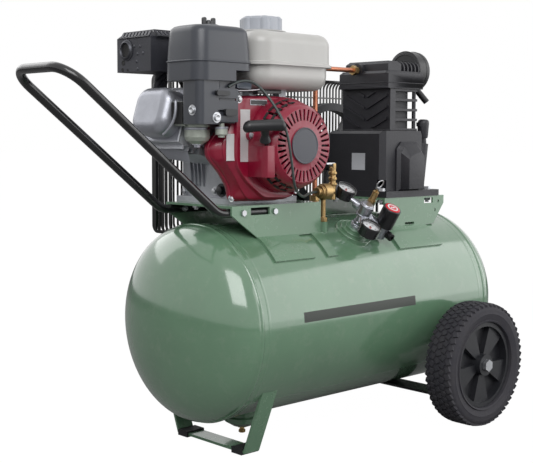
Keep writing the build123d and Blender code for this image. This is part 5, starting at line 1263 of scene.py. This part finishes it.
@dataclass
class Muffler:
    """The muffler's slotted guard, tail pipe and end details."""

    box: tuple[Vector, Vector] = field(default_factory=lambda: box_of("muffler"))
    port: Vector = field(default_factory=lambda: here(-211.9, 98, 676))
    port_radius: float = 0.0158
    port_depth: float = 0.0045
    port_lean: Vector = field(default_factory=lambda: here(12, -12, 0))
    rungs: int = 9
    rung_width: float = 0.0056
    bar_thickness: float = 0.0013

    def build(self) -> None:
        """Model the guard and dress the muffler."""
        self.body()
        low, high = self.box
        end, side, level = low.x - 0.0006, low.y - 0.0075, high.z - 0.009
        strips = [self.ladder("guard_end", Vector((end, low.y + 0.004, level)),
                              Vector((end, high.y - 0.008, level)), Vector((0.0098, 0, 0.0098)), 0.006),
                  self.ladder("guard_side", Vector((low.x + 0.008, side, level)),
                              Vector((high.x - 0.004, side, level)), Vector((0, 0.0095, 0.0098)), -0.006)]
        Bench.group("muffler_guard", strips, MUFFLER_BLACK)
        self.tail(Vector((low.x, 0.106, 0.7145)))
        self.pressings(low)

    def body(self) -> None:
        """Ease the muffler, lean its pipe inwards and bend the elbow in front of it."""
        body = Bench.eased("muffler_body", "muffler", 0.0016)
        for vertex in body.data.vertices:
            away = vertex.co - self.port
            if abs(away.z) < self.port_depth and math.hypot(away.x, away.y) < self.port_radius:
                vertex.co += self.port_lean
        stand_in(Bench.done(body, MUFFLER_BLACK, 32), "muffler")
        route = ((-190, 68, 678), (-205, 77, 669), (-216, 82, 657), (-215, 86, 643), (-204, 85, 630),
                 (-196, 83, 617))
        elbow = Bench.tube("exhaust_elbow", [here(*point) for point in route], 0.0062)
        Bench.done(elbow, MUFFLER_BLACK, 60)

    def ladder(self, name: str, start: Vector, end: Vector, width: Vector, lean: float) -> bpy.types.Object:
        """Model a strip with slots: two rails and leaning rungs.

        Args:
            name: The piece's name.
            start: The start of its first rail.
            end: The end of its first rail.
            width: From the first rail to the second.
            lean: How far a rung's far end is shifted along the strip.

        Returns:
            The strip.
        """
        along = (end - start).normalized()
        thick = along.cross(width.normalized()) * self.bar_thickness
        if thick.z < 0:
            thick = -thick
        parts = [self.bar(start + shift, end + shift, self.rung_width / 2, thick)
                 for shift in (Vector(), width)]
        for index in range(self.rungs):
            foot = start.lerp(end, (index + 0.5) / self.rungs)
            parts.append(self.bar(foot - along * lean / 2, foot + width + along * lean / 2,
                                  self.rung_width, thick))
        return Bench.join(name, parts)

    def bar(self, start: Vector, end: Vector, width: float, thick: Vector) -> bpy.types.Object:
        """One flat bar with eased edges between two points."""
        along = (end - start).normalized()
        across = along.cross(thick.normalized()) * width / 2
        corners = [start + across, end + across, end - across, start - across]
        return Bench.panel("bar", corners, thick.length, 0.0)

    def tail(self, at: Vector) -> None:
        """Model the tail pipe with its flange."""
        profile = [(0.0, -0.001), (0.0188, -0.001), (0.0188, 0.0012), (0.0166, 0.0018), (0.0150, 0.0048),
                   (0.0136, 0.0052), (0.0128, 0.0042), (0.0122, 0.0008), (0.0, 0.0008)]
        Bench.done(Bench.turned("tail_pipe", profile, at, -RIGHT, 56), TAIL_STEEL_AND_HIGHLIGHT, 30)
        mouth = [(0.0, 0.0006), (0.0121, 0.0006), (0.0121, 0.0016), (0.0, 0.0011)]
        Bench.done(Bench.turned("tail_mouth", mouth, at, -RIGHT, 40), SOOT_AND_SHADE, 30)

    def pressings(self, low: Vector) -> None:
        """Press the dimples and holes into the muffler's end; the dimples are lightened as a painted
        highlight.
        """
        dome = [(0.0, 0.0016), (0.0018, 0.0012), (0.003, 0.0), (0.0, 0.0)]
        dots = [Bench.turned("dimple", dome, (low.x, y, z), -RIGHT, 20)
                for y, z in ((0.0835, 0.7205), (0.0665, 0.7195), (0.0735, 0.7065), (0.0575, 0.7075),
                             (0.0765, 0.6935), (0.0735, 0.6805))]
        # Painted highlight: the dimples are the muffler's own sheet, given the paler tail steel so that they
        # look lit.
        Bench.group("muffler_dimples_painted_highlight", dots, TAIL_STEEL_AND_HIGHLIGHT, 40)
        holes = []
        for y, z, radius in ((0.1165, 0.6925, 0.004), (0.1185, 0.6805, 0.0028), (0.1035, 0.6795, 0.0018)):
            ring = [(0.0, 0.0003), (radius, 0.0003), (radius * 1.1, 0.0007), (radius * 1.25, 0.0), (0.0, 0.0)]
            holes.append(Bench.turned("vent", ring, (low.x, y, z), -RIGHT, 24))
        Bench.group("muffler_vents", holes, SOOT_AND_SHADE, 40)


@dataclass
class FuelTank:
    """The fuel tank with its welded seam, brackets and cap."""

    seam_height: float = 0.6925
    seam: float = 0.0019

    def build(self) -> None:
        """Lay the seam and dress the tank."""
        dress(PAINT_CREAM, "fuel_tank")
        dress(CAP_GREY, "fuel_cap")
        seam = Bench.bead("fuel_tank_seam", "fuel_tank", UP * self.seam_height, UP, self.seam)
        Bench.done(seam, PAINT_CREAM, 60)
        at = Vector((-0.0515, -0.015, box_of("fuel_tank")[1].z - 0.0012))
        profile = [(0.0, 0.0), (0.048, 0.0), (0.0455, 0.0022), (0.041, 0.003), (0.0, 0.003)]
        Bench.done(Bench.turned("filler_neck", profile, at, UP, 64), PAINT_CREAM)


@dataclass
class Engine:
    """The petrol engine's block, head, carburettor and controls."""

    half_grip: float = 0.041
    grip_height: float = 0.566
    grip_depth: float = 0.006
    droop: float = 0.0052
    rope_radius: float = 0.0017
    rib_rows: tuple[float, ...] = (38, 49, 60, 71)

    def build(self) -> None:
        """Build and dress the engine."""
        replace("engine_block", "crankcase", 0.0014, ALLOY)
        dress(ALLOY, "cylinder_head", "engine_piston")
        dress(ALLOY_SMOOTH, "rocker_cover")
        dress(STEEL, "engine_crankshaft")
        dress(SOFT_RUBBER, "ignition_lead")
        dress(BLACK_PLASTIC, "flywheel_fan", "recoil_reel", "wing_nut", "choke_lever", "fuel_lever")
        dress(CARB_ZINC, "carburettor")
        self.grip()
        self.rope()
        self.bowl()
        self.bracket()
        self.flange()
        self.controls()
        self.bolts()
        self.shroud()
        self.ribs()

    def grip(self) -> None:
        """Arch the starter's grip: its ends droop."""
        grip = Bench.copy_of("arched_grip", "recoil_handle")
        low, high = box_of("recoil_handle")
        middle = (low + high) / 2
        along = Vector((high.x - low.x, low.y - high.y, 0)).normalized()
        for vertex in grip.data.vertices:
            reach = (vertex.co - middle).dot(along) / self.half_grip
            over_neck = min(1.0, max(0.0, (vertex.co.z - self.grip_height) / self.grip_depth))
            vertex.co.z -= self.droop * reach ** 2 * over_neck
        stand_in(Bench.done(grip, BLACK_PLASTIC, body="starter_grip"), "recoil_handle")

    def rope(self) -> None:
        """Stretch the starter's rope from its guide to the grip."""
        inner, outer = here(-135.6, -120.8, 526.1), here(-151.9, -136.1, 565.3)
        rope = Bench.tube("pull_rope", [inner.lerp(outer, step / 6) for step in range(7)], self.rope_radius)
        Bench.finish(rope, SOFT_RUBBER, 60)
        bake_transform(rope)
        stand_in(rope, "recoil_rope")

    def flange(self) -> None:
        """Lay the flange of the rocker cover."""
        low, high = box_of("rocker_cover")
        at = (low + high) / 2 - CYLINDER_WAY * 0.016
        Bench.done(Bench.bead("rocker_flange", "rocker_cover", at, CYLINDER_WAY, 0.0026), ALLOY, 60)

    def bowl(self) -> None:
        """Clamp the bowls of the carburettor and screw their drains in."""
        parts = []
        for name, bore, outer, step, top, at, sides in (
                ("bowl_clamp", 0.0195, 0.0228, 0.0008, 0.0044, here(-229.5, -48, 573.5), 56),
                ("cup_clamp", 0.009, 0.0118, 0.0007, 0.0042, here(-208.5, -88, 575), 40)):
            edge = outer - 0.0006
            profile = [(bore, 0.0), (edge, 0.0), (outer, step), (outer, 0.0036), (edge, top), (bore, top)]
            parts.append(Bench.turned(name, profile, at, UP, sides))
        parts.append(Fastener(0.0062, 0.0055).mesh("bowl_drain", here(-229.5, -48, 549.6), -UP))
        stop = Fastener(0.0072, 0.0065).mesh("block_stop", here(-195.5, -26.3, 550.5), (-0.35, -0.93, 0))
        parts.append(stop)
        Bench.group("bowl_fittings", parts, POT_METAL)

    def bracket(self) -> None:
        """Stand a black sheet of painted shade over the carburettor's flange and bend the bracket in front of
        it.
        """
        # Painted shade: the flange lies in shadow, so a black sheet covers its pale face.
        corners = [here(-260.6, y, z) for y, z in ((-49, 620.5), (-19, 620.5), (-19, 583.5), (-49, 583.5))]
        Bench.done(Bench.panel("painted_shade_sheet", corners, 0.0012, 0.0003), SOOT_AND_SHADE)
        route = ((-263.6, -33, 622), (-264.6, -35.5, 607), (-266, -31.5, 590), (-269, -21.5, 574),
                 (-272, -9, 565))
        strap = Bench.tube("governor_bracket", [here(*point) for point in route], 0.0026)
        Bench.done(strap, ALLOY_SMOOTH, 60)

    def controls(self) -> None:
        """Model the governor's rod, arm and switch box under the fuel tank."""
        box = Bench.block("switch_box", (0.034, 0.022, 0.0115), here(-157, -78, 650.2), (0, 0.02, 0))
        Bench.edit(box, lambda face: face.normal.y < -0.8,
                   lambda: bpy.ops.mesh.inset(thickness=0.0022, depth=-0.0012))
        Bench.done(Bench.bevel(box, 0.0016), SWITCH_BLUE)
        route = ((-203, -85, 639.4), (-196, -85, 640), (-150, -84, 642), (-122, -83, 643.6), (-112, -80, 646))
        rod = Bench.tube("governor_rod", [here(*point) for point in route], 0.0012)
        Bench.done(rod, ZINC, 60)
        arm = Bench.block("governor_arm", (0.066, 0.012, 0.0075), here(-84, -68, 642), (0, -0.05, 0.12))
        Bench.edit(arm, lambda face: face.normal.z > 0.8,
                   lambda: bpy.ops.mesh.inset(thickness=0.002, depth=-0.0015))
        Bench.done(Bench.bevel(arm, 0.0012), BLACK_PLASTIC)

    def bolts(self) -> None:
        """Bolt the block's foot down and screw the oil plug in."""
        heads = [Fastener(0.0055, 0.005).mesh("block_bolt", here(-142.5, y, z), -RIGHT)
                 for y, z in ((92, 461), (6, 464))]
        Bench.group("block_bolts", heads, ZINC)
        plug = Fastener(0.0085, 0.007).mesh("oil_plug", here(-142.5, -12, 466), -RIGHT)
        Bench.done(plug, BLACK_PLASTIC, 30)

    def shroud(self) -> None:
        """Bend the sheet that leads the air under the cylinder."""
        head = (here(-229.5, 62, 556), here(-222.5, -17, 548))
        foot = (here(-224.0, 62, 524), here(-214.0, -17, 516))
        points = []
        for height, swell in ((0.0, 0.0), (0.35, 0.003), (0.7, 0.0035), (1.0, 0.001)):
            start, end = head[0].lerp(foot[0], height), head[1].lerp(foot[1], height)
            points += [start.lerp(end, share) + CYLINDER_WAY * (swell + 0.002 * math.sin(math.pi * share))
                       for share in (0.02, 0.15, 0.4, 0.6, 0.85, 0.98)]
        Bench.clear()
        bpy.ops.mesh.primitive_grid_add(x_subdivisions=5, y_subdivisions=3, size=2)
        sheet = Bench.named("head_shroud")
        for vertex, point in zip(sheet.data.vertices, points):
            vertex.co = point
        change = sheet.modifiers.new("solidify", "SOLIDIFY")
        change.thickness = 0.0016
        Bench.apply(sheet, change)
        change = sheet.modifiers.new("subsurf", "SUBSURF")
        change.levels = change.render_levels = 2
        Bench.apply(sheet, change)
        Bench.edit(sheet, None, lambda: bpy.ops.mesh.normals_make_consistent(inside=False))
        Bench.done(sheet, ALLOY_SMOOTH, 50)

    def ribs(self) -> None:
        """Raise the tapering ribs on the end of the block."""
        ribs = []
        for y in self.rib_rows:
            rib = Bench.block("block_rib", (0.012, 0.0042, 0.058), here(-147, y, 500))
            Bench.edit(rib, lambda face: face.normal.z < -0.8,
                       lambda: bpy.ops.transform.resize(value=(0.25, 0.7, 1)),
                       lambda: bpy.ops.transform.translate(value=(0.0042, 0, 0)))
            ribs.append(Bench.bevel(rib, 0.0012))
        Bench.group("block_ribs", ribs, ALLOY_SMOOTH, 40)


@dataclass
class Pump:
    """The two-cylinder pump with its label plate, screws and intake filter."""

    filter_at: Vector = field(default_factory=lambda: here(0, -28, 698))
    breather: Point = (0.335, 0.588)
    breather_drop: float = 0.012
    screw_height: float = 0.688
    housing_base: Pairs = ((262, 456.5), (262, 533), (273, 549.5), (313.5, 549.5), (324, 534), (324, 456.5))
    housing_face: Pairs = ((269, 458.5), (269, 518.5), (275, 524.5), (306, 533.5), (316.5, 524),
                           (316.5, 458.5))

    def build(self) -> None:
        """Model the details and dress the pump."""
        self.case()
        replace("pump_barrels", "pump_cylinders", 0.0009, IRON)
        replace("pump_top", "pump_head", 0.0012, IRON)
        dress(BLACK_PLASTIC, "intake_filter")
        dress(STEEL, "pump_crankshaft")
        dress(ALLOY, "pump_piston_front", "pump_piston_rear")
        corners = [here(217.5, y, z) for y, z in ((2, 496), (-33.4, 496), (-33.4, 530), (2, 530))]
        Bench.done(Bench.panel("pump_plate", corners, 0.0006, 0.0001), LABEL_GREY)
        self.filter_rings()
        self.gaskets()
        self.screws()

    def case(self) -> None:
        """Ease the case, lower its breather under a round cap and build up the bearing's housing."""
        case = Bench.eased("pump_case", "pump_crankcase", 0.0022)
        for vertex in case.data.vertices:
            if vertex.co.x > self.breather[0] and vertex.co.z > self.breather[1]:
                vertex.co.z -= self.breather_drop
        stand_in(Bench.done(case, IRON, 32), "pump_crankcase")
        profile = [(0.0, 0.0), (0.0096, 0.0), (0.0108, 0.004), (0.0118, 0.030), (0.0116, 0.0335),
                   (0.0102, 0.0365), (0.0070, 0.0382), (0.0, 0.0386)]
        cap = Bench.turned("breather_cap", profile, here(356, -68, 560.5), (0.03, -0.02, 1), 48)
        Bench.done(cap, IRON)
        levels = ((0.0, -84.0), (0.0, -87.0), (0.06, -88.4), (0.94, -104.6), (1.0, -105.6), (1.09, -106.0))
        rings = [self.ring(share, depth) for share, depth in levels]
        Bench.done(Bench.bevel(Bench.lofted("bearing_housing", rings), 0.0014, 2, 20), IRON, 30)

    def ring(self, share: float, depth: float) -> list[Vector]:
        """A ring part of the way from the bearing housing's base to its face.

        Args:
            share: How far towards the face.
            depth: The ring's Y in millimetres.

        Returns:
            The points.
        """
        corners = [Vector(a).lerp(Vector(b), share) for a, b in zip(self.housing_base, self.housing_face)]
        return [here(corner.x, depth, corner.y) for corner in corners]

    def filter_rings(self) -> None:
        """Turn the rings on the filter's front and round its rim."""
        end = box_of("intake_filter")[0].x
        rings = []
        for radius, inset, size in ((0.0405, 0.0058, 0.0014), (0.0405, 0.0285, 0.0014),
                                    (0.0345, 0.0041, 0.0011), (0.022, 0.0041, 0.0009)):
            at = (end + inset, self.filter_at.y, self.filter_at.z)
            rings.append(Bench.turned("filter_ring", Bench.round_section(radius, size), at, RIGHT, 64))
        Bench.group("filter_rings", rings, BLACK_PLASTIC, 50)

    def gaskets(self) -> None:
        """Lay the joints between the case, the cylinders and the head."""
        beads = []
        for name, node, rise, radius in (("head_gasket", "pump_head", 0.0115, 0.0009),
                                         ("cylinder_gasket", "pump_cylinders", 0.0016, 0.0012)):
            beads.append(Bench.bead(name, node, UP * (box_of(node)[0].z + rise), UP, radius))
        Bench.group("pump_gaskets", beads, IRON, 60)

    def screws(self) -> None:
        """Screw the head down."""
        low, high = box_of("pump_head")
        heads = [Fastener(0.0052, 0.005).mesh("head_screw", (x, y, self.screw_height), UP)
                 for x in (low.x + 0.007, high.x - 0.008)
                 for y in (low.y + 0.008, (low.y + high.y) / 2, high.y - 0.008)]
        Bench.group("head_screws", heads, IRON)


@dataclass
class BeltDrive:
    """The sheaves, the belt and the wire guard."""

    def build(self) -> None:
        """Dress the drive."""
        dress(IRON, "pump_flywheel", "engine_pulley")
        dress(SOFT_RUBBER, "v_belt")
        dress(PAINT_BLACK, "belt_guard")


@dataclass
class Gauge:
    """A dial with ticks and numbers, its glass and its bezel."""

    name: str
    hub: Vector
    figures: tuple[str, ...]
    radius: float = 0.0172
    first: float = 225.0
    sweep: float = 270.0
    ticks: int = 41

    def at(self, distance: float, angle: float, height: float) -> Vector:
        """A point of the dial given by polar place and height over the hub's pivot."""
        way = RIGHT * math.cos(math.radians(angle)) + SLOPE_UP * math.sin(math.radians(angle))
        return self.hub + way * distance + BOSS_WAY * height

    def build(self) -> None:
        """Model the gauge's face, glass and bezel."""
        rim = self.radius
        dial = [(0.0, 0.0), (rim, 0.0), (rim, 0.0006), (rim - 0.0005, 0.0004), (0.0, 0.0003)]
        face = Bench.turned(self.name + "_dial", dial, self.hub - BOSS_WAY * 0.001, BOSS_WAY, 56)
        Bench.done(face, DIAL_WHITE, 30)
        self.marks()
        lens = [(0.0, 0.0), (rim, 0.0), (rim, 0.0005), (rim * 0.6, 0.0009), (0.0, 0.001)]
        glass = Bench.turned(self.name + "_glass", lens, self.hub + BOSS_WAY * 0.0031, BOSS_WAY, 48)
        Bench.done(glass, GLASS, 60)
        ring = [(0.0171, 0.0028), (0.0176, 0.0052), (0.0186, 0.0058), (0.0204, 0.0054), (0.0209, 0.004),
                (0.0208, -0.001), (0.0204, -0.001), (0.0178, 0.0028)]
        bezel = Bench.turned(self.name + "_bezel", ring, self.hub, BOSS_WAY, 64)
        Bench.done(bezel, GAUGE_BLACK, 35)

    def marks(self) -> None:
        """Mark the scale with ticks and numbers."""
        tilt = Matrix((RIGHT, SLOPE_UP, BOSS_WAY)).transposed().to_4x4()
        parts = []
        for index in range(self.ticks):
            angle = self.first - self.sweep * index / (self.ticks - 1)
            length, width = (0.0026, 0.00045) if index % 5 == 0 else (0.0014, 0.00022)
            middle = self.at(self.radius - 0.0016 - length / 2, angle, -0.00052)
            tick = Bench.block("tick", (length, width, 0.00016), (0, 0, 0))
            turn = Matrix.Rotation(math.radians(angle), 4, "Z")
            tick.data.transform(Matrix.Translation(middle) @ tilt @ turn)
            parts.append(tick)
        for index, figure in enumerate(self.figures):
            angle = self.first - self.sweep * index / (len(self.figures) - 1)
            Bench.clear()
            bpy.ops.object.text_add()
            text = bpy.context.object
            text.data.body, text.data.size, text.data.extrude = figure, 0.0042, 0.00006
            text.data.align_x, text.data.align_y = "CENTER", "CENTER"
            bpy.ops.object.convert(target="MESH")
            text = bpy.context.object
            text.data.transform(Matrix.Translation(self.at(self.radius * 0.58, angle, -0.0005)) @ tilt)
            parts.append(text)
        Bench.group(self.name + "_scale", parts, DIAL_INK)


@dataclass
class Pipework:
    """The discharge tube, the pilot valve, the regulator and the gauges."""

    boss: Vector = field(default_factory=lambda: here(116.5, -95.64, 378.92))
    knob_at: Vector = field(default_factory=lambda: Vector((0.1635, -0.131388, 0.394092)))
    body_height: float = 0.055
    half_body: float = 0.0146
    barrel: float = 0.0134
    waist: float = 0.0028
    voxel: float = 0.0007

    def on_boss(self, x: float, y: float, z: float) -> Vector:
        """A point given in millimetres along X, up the slope and out of the tank."""
        return self.boss + (RIGHT * x + SLOPE_UP * y + BOSS_WAY * z) * MM

    def build(self) -> None:
        """Model the details and dress the pipework."""
        dress(COPPER, "discharge_tube")
        dress(BRASS, "brass_fittings", "drain_knob", "safety_valve")
        self.castings()
        dress(ZINC, "pilot_lever")
        dress(STEEL, "safety_ring")
        dress(KNOB_BLACK, "regulator_knob", "outlet_coupler")
        dress(GAUGE_BLACK, "gauge_cases")
        dress(NEEDLE_RED, "tank_needle", "line_needle")
        Gauge("tank_gauge", Vector((0.1045, -0.087245, 0.462527)), ("0", "50", "100", "150", "200")).build()
        Gauge("line_gauge", Vector((0.103, -0.150792, 0.394772)), ("0", "40", "80", "120", "160")).build()
        self.knob()
        self.collars()

    def castings(self) -> None:
        """Let the arms of the manifold and of the pilot valve flow into their bodies."""
        manifold = Bench.cast_copy("manifold_cast", "regulator_body", self.voxel, 12)
        for vertex in manifold.data.vertices:
            away = vertex.co - self.boss
            height = away.dot(BOSS_WAY)
            out = away - BOSS_WAY * height
            level = abs(height - self.body_height)
            limit = self.barrel - self.waist * (level / 0.014) ** 4
            inside = abs(out.x) < self.barrel and abs(out.dot(SLOPE_UP)) < self.barrel + MM
            if level < self.half_body and inside and out.length > limit:
                vertex.co -= out * (1 - limit / out.length)
        stand_in(Bench.done(manifold, POT_METAL, 60), "regulator_body")
        valve = Bench.cast_copy("pilot_valve_cast", "pilot_valve", self.voxel, 3)
        stand_in(Bench.done(valve, BRASS, 60), "pilot_valve")

    def knob(self) -> None:
        """Model the knob's coloured top with a ring and two pointed marks."""
        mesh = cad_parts["regulator_knob"].data
        reach = max((vertex.co - self.knob_at).dot(BOSS_WAY) for vertex in mesh.vertices)
        top = self.knob_at + BOSS_WAY * (reach - 0.0004)
        profile = [(0.0, 0.0), (0.0152, 0.0), (0.0150, 0.0010), (0.0138, 0.0014), (0.0, 0.0014)]
        Bench.done(Bench.turned("knob_disc", profile, top, BOSS_WAY, 48), KNOB_TOP, 30, "regulator_knob")
        ring = [(0.0078, 0.0012), (0.0108, 0.0012), (0.0108, 0.0018), (0.0078, 0.0018)]
        marks = [Bench.turned("knob_ring", ring, top, BOSS_WAY, 48)]
        for side in (1, -1):
            at = top + RIGHT * side * 0.0028 + BOSS_WAY * 0.0015
            arrow = Bench.cylinder("knob_arrow", 0.0036, 0.0006, at, BOSS_WAY, 3)
            marks.append(Bench.bevel(arrow, 0.0003, 1))
        Bench.group("knob_marks", marks, DIAL_WHITE, body="regulator_knob")

    def collars(self) -> None:
        """Turn the steps of the tank's boss and the collars of the manifold."""
        steps = [Bench.turned("boss_step", Bench.round_section(radius, 0.0012), self.on_boss(0, 0, height),
                              BOSS_WAY, 96)
                 for radius, height in ((0.0357, 4.7), (0.0287, 9.7), (0.0207, 14.7))]
        Bench.group("boss_steps", steps, PAINT_TANK, 60)
        rings = []
        for centre, axis, radius, half in (
                (self.on_boss(0, 0, 17), BOSS_WAY, 0.0125, 0.004),
                (self.on_boss(0, 0, 27), BOSS_WAY, 0.0108, 0.0025),
                (self.on_boss(24, -11, 21), Vector((0.86, -0.43, 0)), 0.0122, 0.0032),
                (self.on_boss(0, 0, 44.5), BOSS_WAY, 0.0142, 0.0022),
                (self.on_boss(0, 0, 64.5), BOSS_WAY, 0.0139, 0.0020)):
            bore, edge = radius * 0.7, radius * 0.94
            profile = [(bore, -half), (edge, -half), (radius, -half * 0.7), (radius, half * 0.7),
                       (edge, half), (bore, half)]
            rings.append(Bench.turned("collar", profile, centre, axis, 40))
        Bench.group("manifold_collars", rings, POT_METAL)


@dataclass
class ThrottleCable:
    """The cable from the carburettor's plate, in front of the starter, to the pilot valve."""

    diameter: float = 0.0048
    length: float = 0.41
    route: Sequence[Point] = ((-319, -98, 646), (-298, -99, 658), (-262, -104, 656), (-243, -128, 620),
                              (-238, -156, 578), (-226, -157, 518), (-216, -153, 474), (-165, -122, 453),
                              (-104, -80, 460), (-86, -80, 460))

    def build(self) -> None:
        """Draw the cable as one smooth curve."""
        cable = Bench.curve("throttle_cable_run", [spot(*place) for place in self.route], self.diameter / 2)
        cable.data.materials.append(CABLE_GREY)
        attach(cable, "frame")
        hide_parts("throttle_cable")
        LOG.info("piece %s declared as a cord", cable.name)


@dataclass
class Studio:
    """The floor, the light and the camera."""

    camera_at: Point = (-1.3935, -1.471, 0.564)
    azimuth: float = -43.01
    elevation: float = 5.12
    roll: float = 0.21
    lens: float = 72.16
    ambient: float = 0.38
    floor_tone: float = 0.32
    floor_glow: float = 0.94

    def build(self) -> None:
        """Set up the studio."""
        self.camera()
        self.world()
        self.floor()
        middle = Vector((0, 0, 0.35))
        self.lamp("key", (-1.9, -2.4, 2.6), (2.4, 2.4), 88, middle)
        self.lamp("fill", (1.75, -1.55, 1.06), (2.6, 2.1), 27, Vector((0, 0, 1.06)))
        self.lamp("back", (-0.6, 2.6, 2.4), (2.4, 2.4), 30, middle)
        bpy.context.scene.view_settings.view_transform = "Standard"

    def camera(self) -> None:
        """Place the camera at the viewing angle."""
        a, e, r = (math.radians(value) for value in (self.azimuth, self.elevation, self.roll))
        back = Vector((math.sin(a) * math.cos(e), -math.cos(a) * math.cos(e), math.sin(e)))
        right = Vector((math.cos(a), math.sin(a), 0))
        up = back.cross(right)
        across = right * math.cos(r) + up * math.sin(r)
        data = bpy.data.cameras.new("camera")
        data.lens, data.sensor_width = self.lens, 36
        data.clip_start, data.clip_end = 0.01, 100
        camera = Bench.linked("camera", data)
        camera.matrix_world = Matrix.Translation(self.camera_at) @ Matrix(
            (across, back.cross(across), back)).transposed().to_4x4()
        bpy.context.scene.camera = camera

    def world(self) -> None:
        """A white surround: full white to the eye and in reflections, softer as light."""
        world = bpy.data.worlds.new("surround")
        bpy.context.scene.world = world
        world.use_nodes = True
        tree = world.node_tree
        rays = tree.nodes.new("ShaderNodeLightPath")
        seen = Number(tree, rays.outputs["Is Camera Ray"])
        seen = seen.maths("MAXIMUM", seen, Number(tree, rays.outputs["Is Glossy Ray"]))
        seen = seen.maths("MAXIMUM", seen, Number(tree, rays.outputs["Is Transmission Ray"]))
        sky = next(n for n in tree.nodes if n.type == "BACKGROUND")
        sky.inputs["Color"].default_value = (1, 1, 1, 1)
        tree.links.new((seen * (1 - self.ambient) + self.ambient).socket, sky.inputs["Strength"])

    def floor(self) -> None:
        """A pale floor that keeps the object's shadow."""
        Bench.clear()
        bpy.ops.mesh.primitive_plane_add(size=60, location=(0, 0, 0))
        floor = Bench.named("floor")
        surface = Surface("pale_floor")
        surface.set("Base Color", (self.floor_tone,) * 3)
        surface.set("Roughness", 0.9)
        surface.set("Specular IOR Level", 0.0)
        glow = surface.node("ShaderNodeEmission", {}, {"Color": (1.0, 1.0, 1.0), "Strength": 1.06})
        seen = Number(surface.tree, surface.node("ShaderNodeLightPath").outputs["Is Camera Ray"])
        mix = surface.node("ShaderNodeMixShader", {},
                           {0: seen * self.floor_glow, 1: surface.shader.outputs[0], 2: glow.outputs[0]})
        out = next(n for n in surface.tree.nodes if n.type == "OUTPUT_MATERIAL")
        surface.tree.links.new(mix.outputs[0], out.inputs["Surface"])
        floor.data.materials.append(surface.material)

    def lamp(self, name: str, at: Point, size: tuple[float, float], power: float, aim: Vector) -> None:
        """A wide soft light.

        Args:
            name: The lamp's name.
            at: Where it stands.
            size: Its width and height.
            power: Its power in watts.
            aim: The point it looks at.
        """
        data = bpy.data.lights.new(name, "AREA")
        data.shape, data.energy = "RECTANGLE", power
        data.size, data.size_y = size
        lamp = Bench.linked(name, data)
        lamp.location = at
        lamp.rotation_euler = (aim - Vector(at)).to_track_quat("-Z", "Y").to_euler()


def main() -> None:
    """Build every sub-assembly in order."""
    logging.basicConfig(level=logging.INFO, format="%(name)s: %(message)s")
    steps = (Studio(), ThrottleCable(), Tank(), Chassis(), Wheel("right", -0.238), Wheel("left", 0.238),
             FanCover(), AirCleaner(), Muffler(), FuelTank(), Engine(), Pump(), BeltDrive(), Pipework())
    for step in steps:
        step.build()
        LOG.info("built %s", type(step).__name__)


if __name__ == "__main__":
    main()
